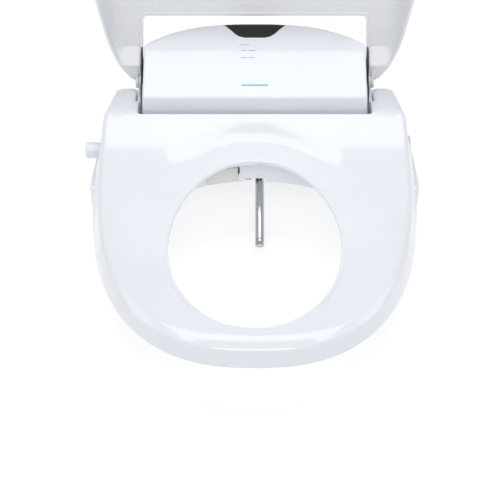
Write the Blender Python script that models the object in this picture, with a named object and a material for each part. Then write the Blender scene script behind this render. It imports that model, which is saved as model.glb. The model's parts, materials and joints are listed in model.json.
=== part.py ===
"""Electric bidet seat with its lid open and its wash nozzle out, as an assembly of separate pieces.

Frame: the origin lies midway between the two fixing bolts, on the toilet bowl's deck.
+Z is up, -Y points to the front of the bowl, +X is to the right for someone facing the seat.
Sizes below are in millimetres; meshes are built in metres.
"""
import math

import bpy
import bmesh
from mathutils import Matrix, Vector
from mathutils.geometry import delaunay_2d_cdt

MM = 0.001

# Ring, opening and wings of the sitting surface
RING_MID_Y = -150.0
RING_HALF_WIDTH = 194.5
RING_FRONT_Y = -470.0
RING_POWER = 2.47
WING_END_Y = -22.0
WING_CORNER_Y = -50.0
RING_FRONT_Z = 47.0
RAMP_START_Y = -260.0
RAMP_TOP_Y = -94.0
RAMP_TOP_Z = 83.0
WING_FALL = 0.19
OPENING_MID_Y = -298.5
OPENING_HALF_LENGTH = 136.5
OPENING_HALF_WIDTH = 98.5
OPENING_POWER = 2.1
RING_BOTTOM_Z = 13.0
RING_LIFTED_Z = 34.8
LIFT_START_Y = -248.0
LIFT_END_Y = -190.0
RING_DRAFT = 6.0
SHELL = 3.2

# Hinge line shared by lid and ring
HINGE_Y = -14.0
HINGE_Z = 75.0
PIN_R = 4.0
PIN_HOLE_R = 4.3
RING_EAR_X = (143.2, 147.8)
LID_EAR_X = (148.2, 151.6)
EAR_R = 9.0
LID_OPEN_DEG = 100.0

# Lid, in its closed place
LID_MID_Y = -150.0
LID_HALF_WIDTH = 197.0
LID_FRONT_Y = -476.0
LID_NOTCH_X = 143.5
LID_NOTCH_Y = -94.0
LID_WALL = 3.0
LID_FRONT_Z = 66.0
LID_REAR_Z = 104.0
LID_EDGE_Z = [(-480, 38), (-160, 38), (-60, 79), (-36, 75.5), (20, 75.5)]
LID_REAR_SIDE = [(-126, 195.8), (-94, 192.5), (-74, 189.3), (-54, 182.3),
                 (-35.5, 173), (-27, 166), (-19, 158)]
BOSS_Y = -35.5
BOSS_Z = 75.5
PANEL_START_Y = -54.0

# Base
FLOOR_Z = (9.4, 12.0)
BASE_BOTTOM_Z = 4.0
WALL_TOP_Z = 29.5
DECK_Z = (29.8, 32.5)
BASE_WALL = 2.6
BAY_ARC_R = 190.6
BAY_ARC_X = 112.0
BAY_MID_Y = -131.0
ARM_FRONT_Y = -181.5
BASE_SIDE = [(-174, 199.5), (-150, 199), (-120, 197), (-80, 194),
             (-50, 190), (-20, 184), (10, 173), (30, 159)]
BASE_REAR_Y = 50.5

# Housing over the works
HOUSING_HALF = 140.0
HOUSING_FRONT_Y = -91.0
HOUSING_DRAFT = 3.5
HOUSING_EDGE = (-88.0, 101.3)
HOUSING_CREASE = (-21.0, 135.0)
RIDGE_Y = 23.0
RIDGE_SWEEP = 51.0
RIDGE_R = 12.0
REAR_FALL = 1.2
COVER_WALL = 2.8

# Nozzles: a straight line down and forward under the bay's front wall
NOZZLE_EXIT = (-126.0, -1.8)
NOZZLE_PITCH = math.radians(30.0)
NOZZLE_R = 5.5
NOZZLE_LENGTH = 130.0
NOZZLE_TRAVEL = 90.0
MAIN_X, MAIN_TIP = 6.0, 85.0
FRONT_X, FRONT_TIP = -8.0, -5.0
RACK_PITCH = math.pi * 0.8
RACK_TEETH = 39
PINION_TEETH = 14
PINION_R = 5.6
PINION_S = -97.0
RACK_LINE = 9.0

# Fixing to the bowl
BOLT_X = 70.0
BOLT_R = 4.0
PLATE_Z = 3.0

# Dryer: flap from end to end at the front wall, duct behind it, fan
FLAP_ENDS = ((-60.5, -140.9), (-20.5, -132.1))
FLAP_TOP_Z = 27.0
FLAP_BOTTOM_Z = 5.0
DUCT_REAR = (-108.0, -76.0, -53.0)
DUCT_FRONT = (1.5, 39.5)
DUCT_Z = (13.0, 26.0)
BLOWER = (-92.0, -20.0)

# Inlet and release button, as (y, z) on the sides; lamp lenses on the housing
INLET = (-85.5, 19.0)
BUTTON = (-72.0, 20.5)
LENS_X = -21.5
LENS_Y = (-23.0, -31.0, -39.5)


def material(name, colour, roughness, metallic=0.0):
    """One Principled material."""
    mat = bpy.data.materials.new(name)
    mat.use_nodes = True
    bsdf = mat.node_tree.nodes["Principled BSDF"]
    bsdf.inputs["Base Color"].default_value = (*colour, 1.0)
    bsdf.inputs["Roughness"].default_value = roughness
    bsdf.inputs["Metallic"].default_value = metallic
    return mat


def make_materials():
    """Materials by short name."""
    return {
        "white": material("gloss_white", (0.90, 0.91, 0.94), 0.18),
        "lid": material("lid_white", (0.86, 0.88, 0.92), 0.22),
        "warm": material("warm_white", (0.80, 0.79, 0.77), 0.4),
        "grey": material("inner_grey", (0.55, 0.56, 0.58), 0.5),
        "dark": material("dark_plastic", (0.05, 0.05, 0.06), 0.45),
        "window": material("smoked_window", (0.02, 0.02, 0.025), 0.08),
        "steel": material("stainless", (0.75, 0.75, 0.76), 0.15, 1.0),
        "zinc": material("zinc_plated", (0.6, 0.61, 0.63), 0.35, 1.0),
        "board": material("circuit_board", (0.05, 0.25, 0.12), 0.5),
        "rubber": material("grey_rubber", (0.45, 0.46, 0.48), 0.8),
        "foil": material("heater_foil", (0.75, 0.45, 0.2), 0.4, 0.6),
        "hose": material("silicone_hose", (0.8, 0.8, 0.78), 0.5),
    }


MATERIALS = {}


def interp(table, v):
    """Straight-line reading of (key, value) pairs in rising order."""
    if v <= table[0][0]:
        return table[0][1]
    for (a, fa), (b, fb) in zip(table, table[1:]):
        if v <= b:
            return fa + (fb - fa) * (v - a) / (b - a)
    return table[-1][1]


def smooth(t):
    """Ease from 0 to 1."""
    t = min(max(t, 0.0), 1.0)
    return t * t * (3 - 2 * t)


def add_object(name, bm, mat):
    """Scale a millimetre bmesh to metres and make it an object."""
    bmesh.ops.scale(bm, vec=(MM, MM, MM), verts=bm.verts)
    bmesh.ops.recalc_face_normals(bm, faces=bm.faces)
    mesh = bpy.data.meshes.new(name)
    bm.to_mesh(mesh)
    bm.free()
    obj = bpy.data.objects.new(name, mesh)
    bpy.context.scene.collection.objects.link(obj)
    obj.data.materials.append(MATERIALS[mat])
    return obj


def from_faces(name, verts, faces, mat):
    """Object from vertex and face lists in millimetres."""
    bm = bmesh.new()
    made = [bm.verts.new(v) for v in verts]
    for face in faces:
        bm.faces.new([made[i] for i in face])
    return add_object(name, bm, mat)


def from_rings(name, rings, mat="grey"):
    """Loft through equal rings of points, capped at both ends."""
    n = len(rings[0])
    verts = [p for ring in rings for p in ring]
    faces = [tuple(range(n)), tuple(range(len(verts) - n, len(verts)))]
    for k in range(len(rings) - 1):
        a, b = k * n, (k + 1) * n
        faces += [(a + i, a + (i + 1) % n, b + (i + 1) % n, b + i) for i in range(n)]
    return from_faces(name, verts, faces, mat)


def box(name, lo, hi, mat="grey"):
    """Axis-aligned block between two corners."""
    x, y, z = zip(lo, hi)
    verts = [(x[i], y[j], z[k]) for k in (0, 1) for j in (0, 1) for i in (0, 1)]
    faces = [(0, 2, 3, 1), (4, 5, 7, 6), (0, 1, 5, 4), (1, 3, 7, 5), (3, 2, 6, 7), (2, 0, 4, 6)]
    return from_faces(name, verts, faces, mat)


def prism(name, outline, lo, hi, mat="grey", axis="z"):
    """Extrude an outline along an axis; outlines are (x, y), (y, z) for x, or (x, z) for y."""
    place = {"z": lambda p, h: (p[0], p[1], h),
             "x": lambda p, h: (h, p[0], p[1]),
             "y": lambda p, h: (p[0], h, p[1])}
    put = place[axis]
    return from_rings(name, [[put(p, h) for p in outline] for h in (lo, hi)], mat)


def circle(cx, cy, r, n=24, start=0.0):
    """Points round a circle."""
    return [(cx + r * math.cos(start + 2 * math.pi * i / n), cy + r * math.sin(start + 2 * math.pi * i / n))
            for i in range(n)]


def rod(name, centre, r, lo, hi, mat="grey", axis="z", n=24):
    """Round bar along an axis through the given centre."""
    return prism(name, circle(*centre, r, n), lo, hi, mat, axis)


def apply(obj):
    """Bake the modifiers into the mesh."""
    graph = bpy.context.evaluated_depsgraph_get()
    mesh = bpy.data.meshes.new_from_object(obj.evaluated_get(graph))
    obj.modifiers.clear()
    obj.data = mesh
    return obj


def combine(obj, others, operation):
    """Boolean with helper solids, which are then removed."""
    for other in others:
        mod = obj.modifiers.new(operation.title(), 'BOOLEAN')
        mod.operation = operation
        mod.solver = 'EXACT'
        mod.object = other
    apply(obj)
    for other in others:
        bpy.data.objects.remove(other)
    return obj


def cut(obj, *others):
    """Take helper solids away."""
    return combine(obj, others, 'DIFFERENCE')


def fuse(obj, *others):
    """Join helper solids on."""
    return combine(obj, others, 'UNION')


def inset(loop, d):
    """Move a closed loop to its left by d: inwards on a counter-clockwise loop."""
    n = len(loop)
    out = []
    for i in range(n):
        a, b, c = (Vector(loop[(i + k) % n]) for k in (-1, 0, 1))
        u = (b - a).normalized()
        v = (c - b).normalized()
        nu, nv = Vector((-u.y, u.x)), Vector((-v.y, v.x))
        mid = (nu + nv).normalized()
        out.append(tuple(b + mid * d / max(mid.dot(nu), 0.5)))
    return out


def inside(p, loop):
    """Even-odd test of a point in a closed loop."""
    hit = False
    for (x1, y1), (x2, y2) in zip(loop, loop[1:] + loop[:1]):
        if (y1 > p[1]) != (y2 > p[1]) and p[0] < x1 + (p[1] - y1) * (x2 - x1) / (y2 - y1):
            hit = not hit
    return hit


def clip_rear(loop, limit):
    """Part of a loop in front of a limit in y, with its crossings."""
    out = []
    for (x1, y1), (x2, y2) in zip(loop, loop[1:] + loop[:1]):
        if y1 < limit:
            out.append((x1, y1))
        if (y1 < limit) != (y2 < limit):
            out.append((x1 + (x2 - x1) * (limit - y1) / (y2 - y1), limit))
    return out


def cap(loops, rings, step, height):
    """Triangulate between loops, with inner rings and a grid; gives points, faces and loop indices."""
    drops = {}
    points = []
    edges = []
    for loop in loops:
        base = len(points)
        points += [Vector(p) for p in loop]
        edges += [(base + i, base + (i + 1) % len(loop)) for i in range(len(loop))]
    count = len(points)
    for i in range(count):
        drops[i] = rings[0][1] if rings else 0.0
    for d, drop in rings[1:]:
        for loop in loops:
            for p in inset(loop, d):
                drops[len(points)] = drop
                points.append(Vector(p))
    if step:
        deepest = rings[-1][0] + step * 0.4 if rings else step * 0.4
        inner = [inset(loop, deepest) for loop in loops]
        xs = [p[0] for p in inner[0]]
        ys = [p[1] for p in inner[0]]
        columns = int((max(xs) - min(xs)) / step) + 1
        rows = int((max(ys) - min(ys)) / step) + 1
        for i in range(columns + 1):
            for j in range(rows + 1):
                p = (min(xs) + (max(xs) - min(xs)) * i / columns, min(ys) + (max(ys) - min(ys)) * j / rows)
                if inside(p, inner[0]) and not any(inside(p, hole) for hole in inner[1:]):
                    points.append(Vector(p))
    flat, _, faces, origin, _, _ = delaunay_2d_cdt(points, edges, [], 0, 1e-5)
    place = {}
    for new, olds in enumerate(origin):
        for old in olds:
            place[old] = new
    keep = []
    for face in faces:
        mid = sum((flat[i] for i in face), Vector((0, 0))) / len(face)
        if inside(mid, loops[0]) and not any(inside(mid, hole) for hole in loops[1:]):
            keep.append(tuple(face))
    drop_of = {place[i]: d for i, d in drops.items()}
    verts = [(p.x, p.y, height(p.x, p.y) - drop_of.get(i, 0.0)) for i, p in enumerate(flat)]
    return verts, keep, [place[i] for i in range(count)]


def slab(name, loops, bottom, top, mat="grey", rings=(), step=0.0, top_inset=0.0, low_step=0.0):
    """Closed body between two height functions over the area inside loops[0] and outside the others."""
    low, low_faces, low_rim = cap(loops, [], low_step, bottom)
    high, high_faces, high_rim = cap([inset(p, top_inset) for p in loops], list(rings), step, top)
    n = len(low)
    faces = [tuple(reversed(f)) for f in low_faces]
    faces += [tuple(n + i for i in f) for f in high_faces]
    base = 0
    for loop in loops:
        for i in range(len(loop)):
            a, b = base + i, base + (i + 1) % len(loop)
            faces.append((low_rim[a], low_rim[b], n + high_rim[b], n + high_rim[a]))
        base += len(loop)
    bm = bmesh.new()
    made = [bm.verts.new(v) for v in low + high]
    for face in faces:
        bm.faces.new([made[i] for i in face])
    loose = [v for v in bm.verts if not v.link_faces]
    bmesh.ops.delete(bm, geom=loose, context='VERTS')
    return add_object(name, bm, mat)


def level(z):
    """Height function of a flat face."""
    return lambda x, y: z


def tube(name, points, r, mat="hose", n=10):
    """Solid round bar swept along smooth points."""
    curve = bpy.data.curves.new(name, 'CURVE')
    curve.dimensions = '3D'
    curve.bevel_depth = r * MM
    curve.bevel_resolution = max(0, n // 4)
    curve.use_fill_caps = True
    spline = curve.splines.new('POLY')
    spline.points.add(len(points) - 1)
    for target, p in zip(spline.points, points):
        target.co = (p[0] * MM, p[1] * MM, p[2] * MM, 1.0)
    obj = bpy.data.objects.new(name, curve)
    bpy.context.scene.collection.objects.link(obj)
    curve.materials.append(MATERIALS[mat])
    return obj


def catmull(points, steps=5):
    """Smooth route through hand-set points."""
    vecs = [Vector(p) for p in points]
    vecs = [2 * vecs[0] - vecs[1]] + vecs + [2 * vecs[-1] - vecs[-2]]
    out = []
    for a, b, c, d in zip(vecs, vecs[1:], vecs[2:], vecs[3:]):
        for k in range(steps):
            t = k / steps
            out.append(0.5 * (2 * b + (c - a) * t + (2 * a - 5 * b + 4 * c - d) * t * t
                              + (3 * b - 3 * c + d - a) * t ** 3))
    out.append(vecs[-2])
    return out


def mirrored(right_half):
    """Close an outline from its right half, which runs from the front centre to the rear centre."""
    left = [(-x, y) for x, y in reversed(right_half) if x > 0.01]
    return right_half + left


# ---------------------------------------------------------------- outlines and surfaces

def front_arc(half, mid_y, front_y, power, n):
    """Front quarter of a superellipse, from the centre line to the widest point."""
    pts = []
    for i in range(n + 1):
        t = math.pi / 2 * i / n
        s, c = math.sin(t) ** (2 / power), math.cos(t) ** (2 / power)
        pts.append((half * s, mid_y + (front_y - mid_y) * c))
    return pts


def ring_outline():
    """Outer outline of the sitting ring, round both wings and the notch for the housing."""
    right = front_arc(RING_HALF_WIDTH, RING_MID_Y, RING_FRONT_Y, RING_POWER, 18)
    for y in (-125, -100, -75, WING_CORNER_Y):
        right.append((RING_HALF_WIDTH - 7.5 * ((y - RING_MID_Y) / 100) ** 2.2, y))
    right += [(184.5, -36), (178.5, -26.5), (169, WING_END_Y)]
    right += [(148.2, WING_END_Y), (148.2, -61.8), (143.3, -62.6), (143.3, -92.5), (141.8, RAMP_TOP_Y)]
    right += [(x, RAMP_TOP_Y) for x in (105, 70, 35, 0)]
    return mirrored(right)


def opening_outline():
    """Opening of the ring, clockwise so that material is on its left."""
    n = 36
    pts = []
    for i in range(n):
        t = -2 * math.pi * i / n
        c, s = math.cos(t), math.sin(t)
        x = OPENING_HALF_WIDTH * math.copysign(abs(s) ** (2 / OPENING_POWER), s)
        y = OPENING_MID_Y + OPENING_HALF_LENGTH * math.copysign(abs(c) ** (2 / OPENING_POWER), c)
        pts.append((-x, y))
    return pts


def ring_top(x, y):
    """Height of the ring's top: level in front, ramped up to the housing, falling along the wings."""
    if y > RAMP_TOP_Y:
        return RAMP_TOP_Z - WING_FALL * (y - RAMP_TOP_Y)
    t = max(0.0, (y - RAMP_START_Y) / (RAMP_TOP_Y - RAMP_START_Y))
    return RING_FRONT_Z + (RAMP_TOP_Z - RING_FRONT_Z) * t * t


def ring_bottom(x, y):
    """Lower rim of the ring: low in front of the base, lifted over it."""
    t = smooth((y - LIFT_START_Y) / (LIFT_END_Y - LIFT_START_Y))
    return RING_BOTTOM_Z + (RING_LIFTED_Z - RING_BOTTOM_Z) * t


def lid_outline():
    """Outline of the closed lid, with its notch for the housing."""
    right = front_arc(LID_HALF_WIDTH, LID_MID_Y, LID_FRONT_Y, RING_POWER, 18)
    right += [(x, y) for y, x in LID_REAR_SIDE]
    right += [(151.6, -12.5), (151.6, -9), (LID_NOTCH_X, -9), (LID_NOTCH_X, LID_NOTCH_Y + 5)]
    right += [(LID_NOTCH_X - 1.5, LID_NOTCH_Y + 1.5), (LID_NOTCH_X - 5, LID_NOTCH_Y)]
    right += [(x, LID_NOTCH_Y) for x in (100, 50, 0)]
    return mirrored(right)


def lid_top(x, y):
    """Outside of the closed lid."""
    if y > LID_NOTCH_Y:
        return LID_REAR_Z - 18 * ((y - LID_NOTCH_Y) / 80) ** 2
    t = (y - LID_FRONT_Y) / (LID_NOTCH_Y - LID_FRONT_Y)
    return LID_FRONT_Z + (LID_REAR_Z - LID_FRONT_Z) * t ** 1.8


def lid_bottom(x, y):
    """Lower edge of the lid's skirt; shallow round the notch."""
    if abs(x) < LID_NOTCH_X + 1.5 and LID_NOTCH_Y - 3 < y < BOSS_Y - 6:
        return lid_top(x, y) - 6
    return interp(LID_EDGE_Z, y)


def base_outline():
    """Outline of the base: curved bay wall, two arms, rounded rear corners."""
    right = []
    for i in range(9):
        x = BAY_ARC_X * i / 8
        right.append((x, BAY_MID_Y - BAY_ARC_R + math.sqrt(BAY_ARC_R ** 2 - x ** 2)))
    right += [(124, -175.5), (138, -180.3), (150, ARM_FRONT_Y), (192.5, ARM_FRONT_Y), (197.5, -179.5)]
    right += [(x, y) for y, x in BASE_SIDE]
    right += [(143, 43.5), (122, 49.3), (100, BASE_REAR_Y), (0, BASE_REAR_Y)]
    return mirrored(right)


def housing_outline(half=HOUSING_HALF, front=HOUSING_FRONT_Y, rear=BASE_REAR_Y - 0.5):
    """Outline of the housing cover where it meets the base."""
    right = [(0, front), (60, front), (half - 6, front), (half, front + 6),
             (half, -50), (half, -21), (half, 8)]
    right += [(half - 6, 26), (half - 20, 40), (half - 42, rear), (50, rear), (0, rear)]
    return mirrored(right)


def housing_top(x, y):
    """Top of the housing: sloped face, level crown, rounded ridge and even fall to the rear."""
    edge_y, edge_z = HOUSING_EDGE
    crease_y, crease_z = HOUSING_CREASE
    if y < crease_y:
        return edge_z + (y - edge_y) * (crease_z - edge_z) / (crease_y - edge_y)
    ridge = RIDGE_Y - RIDGE_SWEEP * abs(x / HOUSING_HALF) ** 3
    lean = math.atan(REAR_FALL)
    reach = RIDGE_R * math.sin(lean)
    s = min(max(y - ridge, 0.0), reach)
    on_round = crease_z - RIDGE_R + math.sqrt(RIDGE_R ** 2 - s * s)
    return on_round - REAR_FALL * max(y - ridge - reach, 0.0)


def less(function, d):
    """A height function lowered by d."""
    return lambda x, y: function(x, y) - d


# ---------------------------------------------------------------- fixing hardware

def make_fixing():
    """Mounting plate, bolts, washers and nuts."""
    plate = box("mounting_plate", (-128, -40, 0), (128, 38, PLATE_Z), "grey")
    slots = [box("slot", (s * BOLT_X - 16, -4.6, -1), (s * BOLT_X + 16, 4.6, 9)) for s in (-1, 1)]
    cut(plate, *slots)
    for side, s in (("left", -1), ("right", 1)):
        x = s * BOLT_X
        bolt = rod(f"bolt_{side}", (x, 0), BOLT_R, -60, PLATE_Z + 3, "zinc", n=20)
        fuse(bolt, rod("head", (x, 0), 10.5, PLATE_Z + 0.3, PLATE_Z + 4.6, n=20))
        washer = rod(f"rubber_washer_{side}", (x, 0), 13.0, -35.5, -30.5, "rubber")
        cut(washer, rod("hole", (x, 0), BOLT_R + 0.4, -40, -20))
        nut = rod(f"wing_nut_{side}", (x, 0), 8.5, -48, -35.9, "grey", n=12)
        fuse(nut, box("wing", (x - 17, -2, -48), (x + 17, 2, -39)))
        cut(nut, rod("hole", (x, 0), BOLT_R + 0.4, -55, -30))


# ---------------------------------------------------------------- base

def nozzle_point(x, s, n):
    """Point in nozzle coordinates: s along the way out, n square to it and upward."""
    c, k = math.cos(NOZZLE_PITCH), math.sin(NOZZLE_PITCH)
    return (x, NOZZLE_EXIT[0] - c * s - k * n, NOZZLE_EXIT[1] - k * s + c * n)


def nozzle_prism(name, outline, x0, x1, mat="grey"):
    """Extrude an (s, n) outline across x in nozzle coordinates."""
    turned = [nozzle_point(0, s, n)[1:] for s, n in outline]
    return prism(name, turned, x0, x1, mat, axis="x")


def nozzle_rod(name, x, r, s0, s1, mat="grey", n=20):
    """Round bar along the nozzle line."""
    rings = [[nozzle_point(x + r * math.cos(a), s, r * math.sin(a)) for a in angles(n)] for s in (s0, s1)]
    return from_rings(name, rings, mat)


def angles(n):
    """Even angles round a turn."""
    return [2 * math.pi * i / n for i in range(n)]


def along_flap(u, depth):
    """Plan point u mm along the flap from its left end, depth mm behind its face."""
    (x0, y0), (x1, y1) = FLAP_ENDS
    d = Vector((x1 - x0, y1 - y0)).normalized()
    return (x0 + d.x * u - d.y * depth, y0 + d.y * u + d.x * depth)


def flap_block(name, u0, u1, d0, d1, z0, z1, mat="grey"):
    """Block set square to the dryer flap."""
    corners = ((u0, d0), (u1, d0), (u1, d1), (u0, d1))
    return prism(name, [along_flap(u, d) for u, d in corners], z0, z1, mat)


def make_base():
    """Tray with floor and walls, and the flat deck over its sides."""
    outline = base_outline()
    tray = slab("base_tray", [outline], level(BASE_BOTTOM_Z), level(WALL_TOP_Z), "white")
    upper = slab("upper", [inset(outline, BASE_WALL)], level(FLOOR_Z[1]), level(WALL_TOP_Z + 2))
    lower = slab("lower", [inset(outline, BASE_WALL)], level(BASE_BOTTOM_Z - 2), level(FLOOR_Z[0]))
    cut(tray, upper, lower)
    cut(tray, box("notch", (-15, -140, 2), (13, -120, 9)), box("bay", (-18, -127.2, 2), (16, -83, 13.5)))
    cut(tray,
        flap_block("air", -0.6, 41.6, -6, 6, FLAP_BOTTOM_Z - 3, FLAP_TOP_Z + 0.8),
        rod("inlet", INLET, 10.8, -230, -180, axis="x", n=28),
        rod("press", BUTTON, 8.9, 180, 230, axis="x", n=28),
        rod("gland", (105, 20.5), 7.4, 40, 60, axis="y", n=24))
    deck_loops = [outline, [(-133, -86), (-133, 38), (-118, 43.5), (118, 43.5), (133, 38), (133, -86)]]
    deck = slab("base_deck", deck_loops, level(DECK_Z[0]), level(DECK_Z[1]), "white")
    cut(deck, box("rack_way", (-14, -97, 25), (12, -80, 36)))
    for side, s in (("left", -1), ("right", 1)):
        rod(f"base_pad_{side}", (s * 168, -160), 8, 0, FLOOR_Z[0] - 0.3, "rubber", n=20)


def make_housing():
    """Top cover with its window, hinge holes and lens holes."""
    outline = housing_outline()
    rings = [(0, 3.0), (3, 0.6), (7, 0.0)]
    cover = slab("housing_cover", [outline], level(DECK_Z[1] + 0.3), housing_top, "white",
                 rings, 17, HOUSING_DRAFT)
    hollow = slab("hollow", [inset(outline, COVER_WALL)], level(20), less(housing_top, 3.4), step=24,
                  top_inset=HOUSING_DRAFT)
    cut(cover, hollow)
    window = [(-37, 21.5), (-31.5, 12), (-24, 1), (-14, -5),
              (14, -5), (24, 1), (31.5, 12), (37, 21.5), (0, 23.5)]
    pins = [rod("pin", (HINGE_Y, HINGE_Z), PIN_HOLE_R, s * 120, s * 145, axis="x") for s in (-1, 1)]
    lenses = [lens_body("lens", y, 1.5, 30, 10) for y in LENS_Y]
    cut(cover, prism("pocket", window, 110, 150), *pins, *lenses)
    prism("ir_window", inset(window, 0.4), HOUSING_CREASE[1] - 3.0, HOUSING_CREASE[1] - 0.2, "window")
    stems = [lens_body("stem", y, 1.2, 8.0, 0.2) for y in LENS_Y]
    (y0, z0), (y1, z1) = [(y, housing_top(0, y) - 6.5) for y in (LENS_Y[-1] - 1, LENS_Y[0] + 5)]
    bar = prism("indicator_light_pipe", [(y0, z0 - 2.5), (y1, z1 - 2.5), (y1, z1), (y0, z0)],
                LENS_X - 3, LENS_X + 3, "warm", "x")
    fuse(bar, *stems)


def lens_body(name, y, r, depth, out):
    """Small round bar set square to the sloped face, reaching from below it to just above it."""
    slope = math.atan2(HOUSING_CREASE[1] - HOUSING_EDGE[1], HOUSING_CREASE[0] - HOUSING_EDGE[0])
    up = Vector((0, -math.sin(slope), math.cos(slope)))
    side = Vector((0, math.cos(slope), math.sin(slope)))
    centre = Vector((LENS_X, y, housing_top(0, y)))
    ring = [Vector((r * math.cos(a), 0, 0)) + side * r * math.sin(a) for a in angles(12)]
    return from_rings(name, [[centre + up * h + p for p in ring] for h in (out - depth, out)], "warm")


# ---------------------------------------------------------------- water and power

def make_water():
    """Inlet, strainer, valve, heater, diverter and the hoses between them."""
    y, z = INLET
    inlet = rod("water_inlet", INLET, 10.4, -213, -187.2, "white", "x", 28)
    cut(inlet, rod("bore", INLET, 6.6, -220, -180, axis="x", n=24))
    strainer = rod("inlet_strainer", INLET, 6.2, -208, -192, "zinc", "x", 20)
    cut(strainer, rod("inside", INLET, 5.2, -212, -194, axis="x", n=20))
    valve = box("solenoid_valve", (-186.4, y - 11, 12.4), (-152, y + 11, 27.5), "grey")
    fuse(valve, rod("coil", (-168, 20.4), 7.9, y + 8, y + 36, axis="y", n=20))
    heater = box("water_heater", (48, -84, 12.4), (126, 20, 48), "grey")
    fuse(heater, box("flange", (56, -70, 47), (118, 8, 53)), rod("port", (60, 24), 5, 18, 26, axis="y", n=16),
         rod("port", (-45, 30), 4.2, 42, 49, axis="x", n=16))
    diverter = box("diverter_valve", (20, -20, 14), (42, 14, 32), "dark")
    fuse(diverter, rod("dial", (31, -4), 8, 30, 40, n=20))
    route = [(-151.4, y, 20), (-146, y, 20), (-137, y + 7, 20), (-134, -56, 20), (-134, -20, 20),
             (-131, 18, 20), (-112, 37, 20), (-60, 41, 20), (0, 41, 20), (40, 40.5, 21),
             (56.5, 37, 23), (60, 31, 24), (60, 26.6, 24)]
    tube("supply_hose", catmull(route), 3.6)
    short = [(41.6, -45, 30), (36.5, -44.2, 30), (32.3, -39, 29.5),
             (31, -30, 28), (31, -25, 28), (31, -20.6, 28)]
    tube("wash_hose", catmull(short), 2.8)


def make_power():
    """Board, supply, receiver and the cord's gland."""
    board = box("control_board", (44, -72, 58), (101, 16, 59.6), "board")
    parts = [box("chip", (55, -50, 59), (73, -32, 62.5)), box("relay", (80, -60, 59), (96, -46, 70)),
             rod("capacitor", (60, -8), 6, 59, 74, n=16), box("connector", (80, -10, 59), (98, 4, 66))]
    fuse(board, *parts)
    supply = box("power_supply", (44, -38, 80), (100, 22, 100), "zinc")
    slots = [box("slot", (50, -30 + i * 10, 97), (94, -26 + i * 10, 104)) for i in range(5)]
    cut(supply, *slots)
    receiver = box("ir_receiver_board", (-14, -3, 121), (14, 15, 122.6), "board")
    fuse(receiver, prism("eye", circle(0, 5, 4, 16), 122, 128.5))
    gland = rod("power_gland", (105, 20.5), 7.0, 44, 57, "dark", "y", 24)
    fuse(gland, rod("collar", (105, 20.5), 9.5, 50.9, 54, axis="y", n=24))
    cut(gland, rod("bore", (105, 20.5), 3.6, 40, 60, axis="y", n=20))


# ---------------------------------------------------------------- nozzles

def rack_outline():
    """Toothed bar on top of a nozzle: (s, n) measured from the nozzle's tip."""
    start = -188.0
    length = RACK_TEETH * RACK_PITCH
    pts = [(start, 5.9), (start + length, 5.9), (start + length, 8.3)]
    for k in reversed(range(RACK_TEETH)):
        mid = start + (k + 0.5) * RACK_PITCH
        pts += [(mid + 0.65, 8.3), (mid + 0.3, 9.7), (mid - 0.3, 9.7), (mid - 0.65, 8.3)]
    pts.append((start, 8.3))
    return pts


def pinion_outline(tip):
    """Toothed wheel in (s, n), turned so that its gaps meet the rack's teeth."""
    centre_n = RACK_LINE + PINION_R
    first = tip - 188.0 + 0.5 * RACK_PITCH
    offset = (first - PINION_S) % RACK_PITCH
    pts = []
    pitch = 2 * math.pi / PINION_TEETH
    for j in range(PINION_TEETH):
        mid = (offset / RACK_PITCH + 0.5 + j) * pitch
        for da, r in ((-0.145, 4.5), (-0.05, 6.0), (0.05, 6.0), (0.145, 4.5)):
            a = mid + da
            pts.append((PINION_S + r * math.sin(a), centre_n - r * math.cos(a)))
    return pts


def make_nozzle(name, x, tip):
    """Steel sleeve, inner pipe and rack of one nozzle, and the pinion and motor that drive it."""
    sleeve = nozzle_rod(f"{name}_nozzle_tube", x, NOZZLE_R, tip - NOZZLE_LENGTH, tip, "steel", 24)
    bore = nozzle_rod("bore", x, NOZZLE_R - 0.5, tip - NOZZLE_LENGTH - 5, tip - 1.2, n=24)
    cut(sleeve, bore)
    spray = [[nozzle_point(x + 1.3 * math.cos(a), tip - 9 + 1.3 * math.sin(a), h) for a in angles(12)]
             for h in (3, 8)]
    cut(sleeve, from_rings("spray", spray))
    pipe = nozzle_rod(f"{name}_nozzle_pipe", x, NOZZLE_R - 0.9, tip - 142, tip - 1.6, "warm", 20)
    cut(pipe, nozzle_rod("inside", x, 2.5, tip - 150, tip - 12, n=12))
    rack = nozzle_prism(f"{name}_nozzle_rack",
                        [(tip + s, n) for s, n in rack_outline()], x - 2, x + 2, "warm")
    rear, front = tip - 141, tip - 130.6
    saddle = nozzle_prism("saddle", [(rear, 0.5), (front, 0.5), (front, 8.2), (rear, 8.2)],
                          x - 6, x + 6)
    cut(saddle, nozzle_rod("seat", x, NOZZLE_R - 0.5, tip - 150, tip - 120, n=20))
    fuse(rack, saddle)
    side = 1 if x > 0 else -1
    pinion = nozzle_prism(f"{name}_nozzle_pinion", pinion_outline(tip), x - 2, x + 2, "warm")
    centre = nozzle_point(0, PINION_S, RACK_LINE + PINION_R)[1:]
    cut(pinion, rod("bore", centre, 2.2, x - 5, x + 5, axis="x", n=16))
    near, far = x + side * 7.6, x + side * 24.0
    motor = rod(f"{name}_nozzle_motor", centre, 12.0, *sorted((near, far)), "zinc", "x", 24)
    fuse(motor, rod("shaft", centre, 1.95, *sorted((x - side * 2.6, near + side)), axis="x", n=16))


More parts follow.
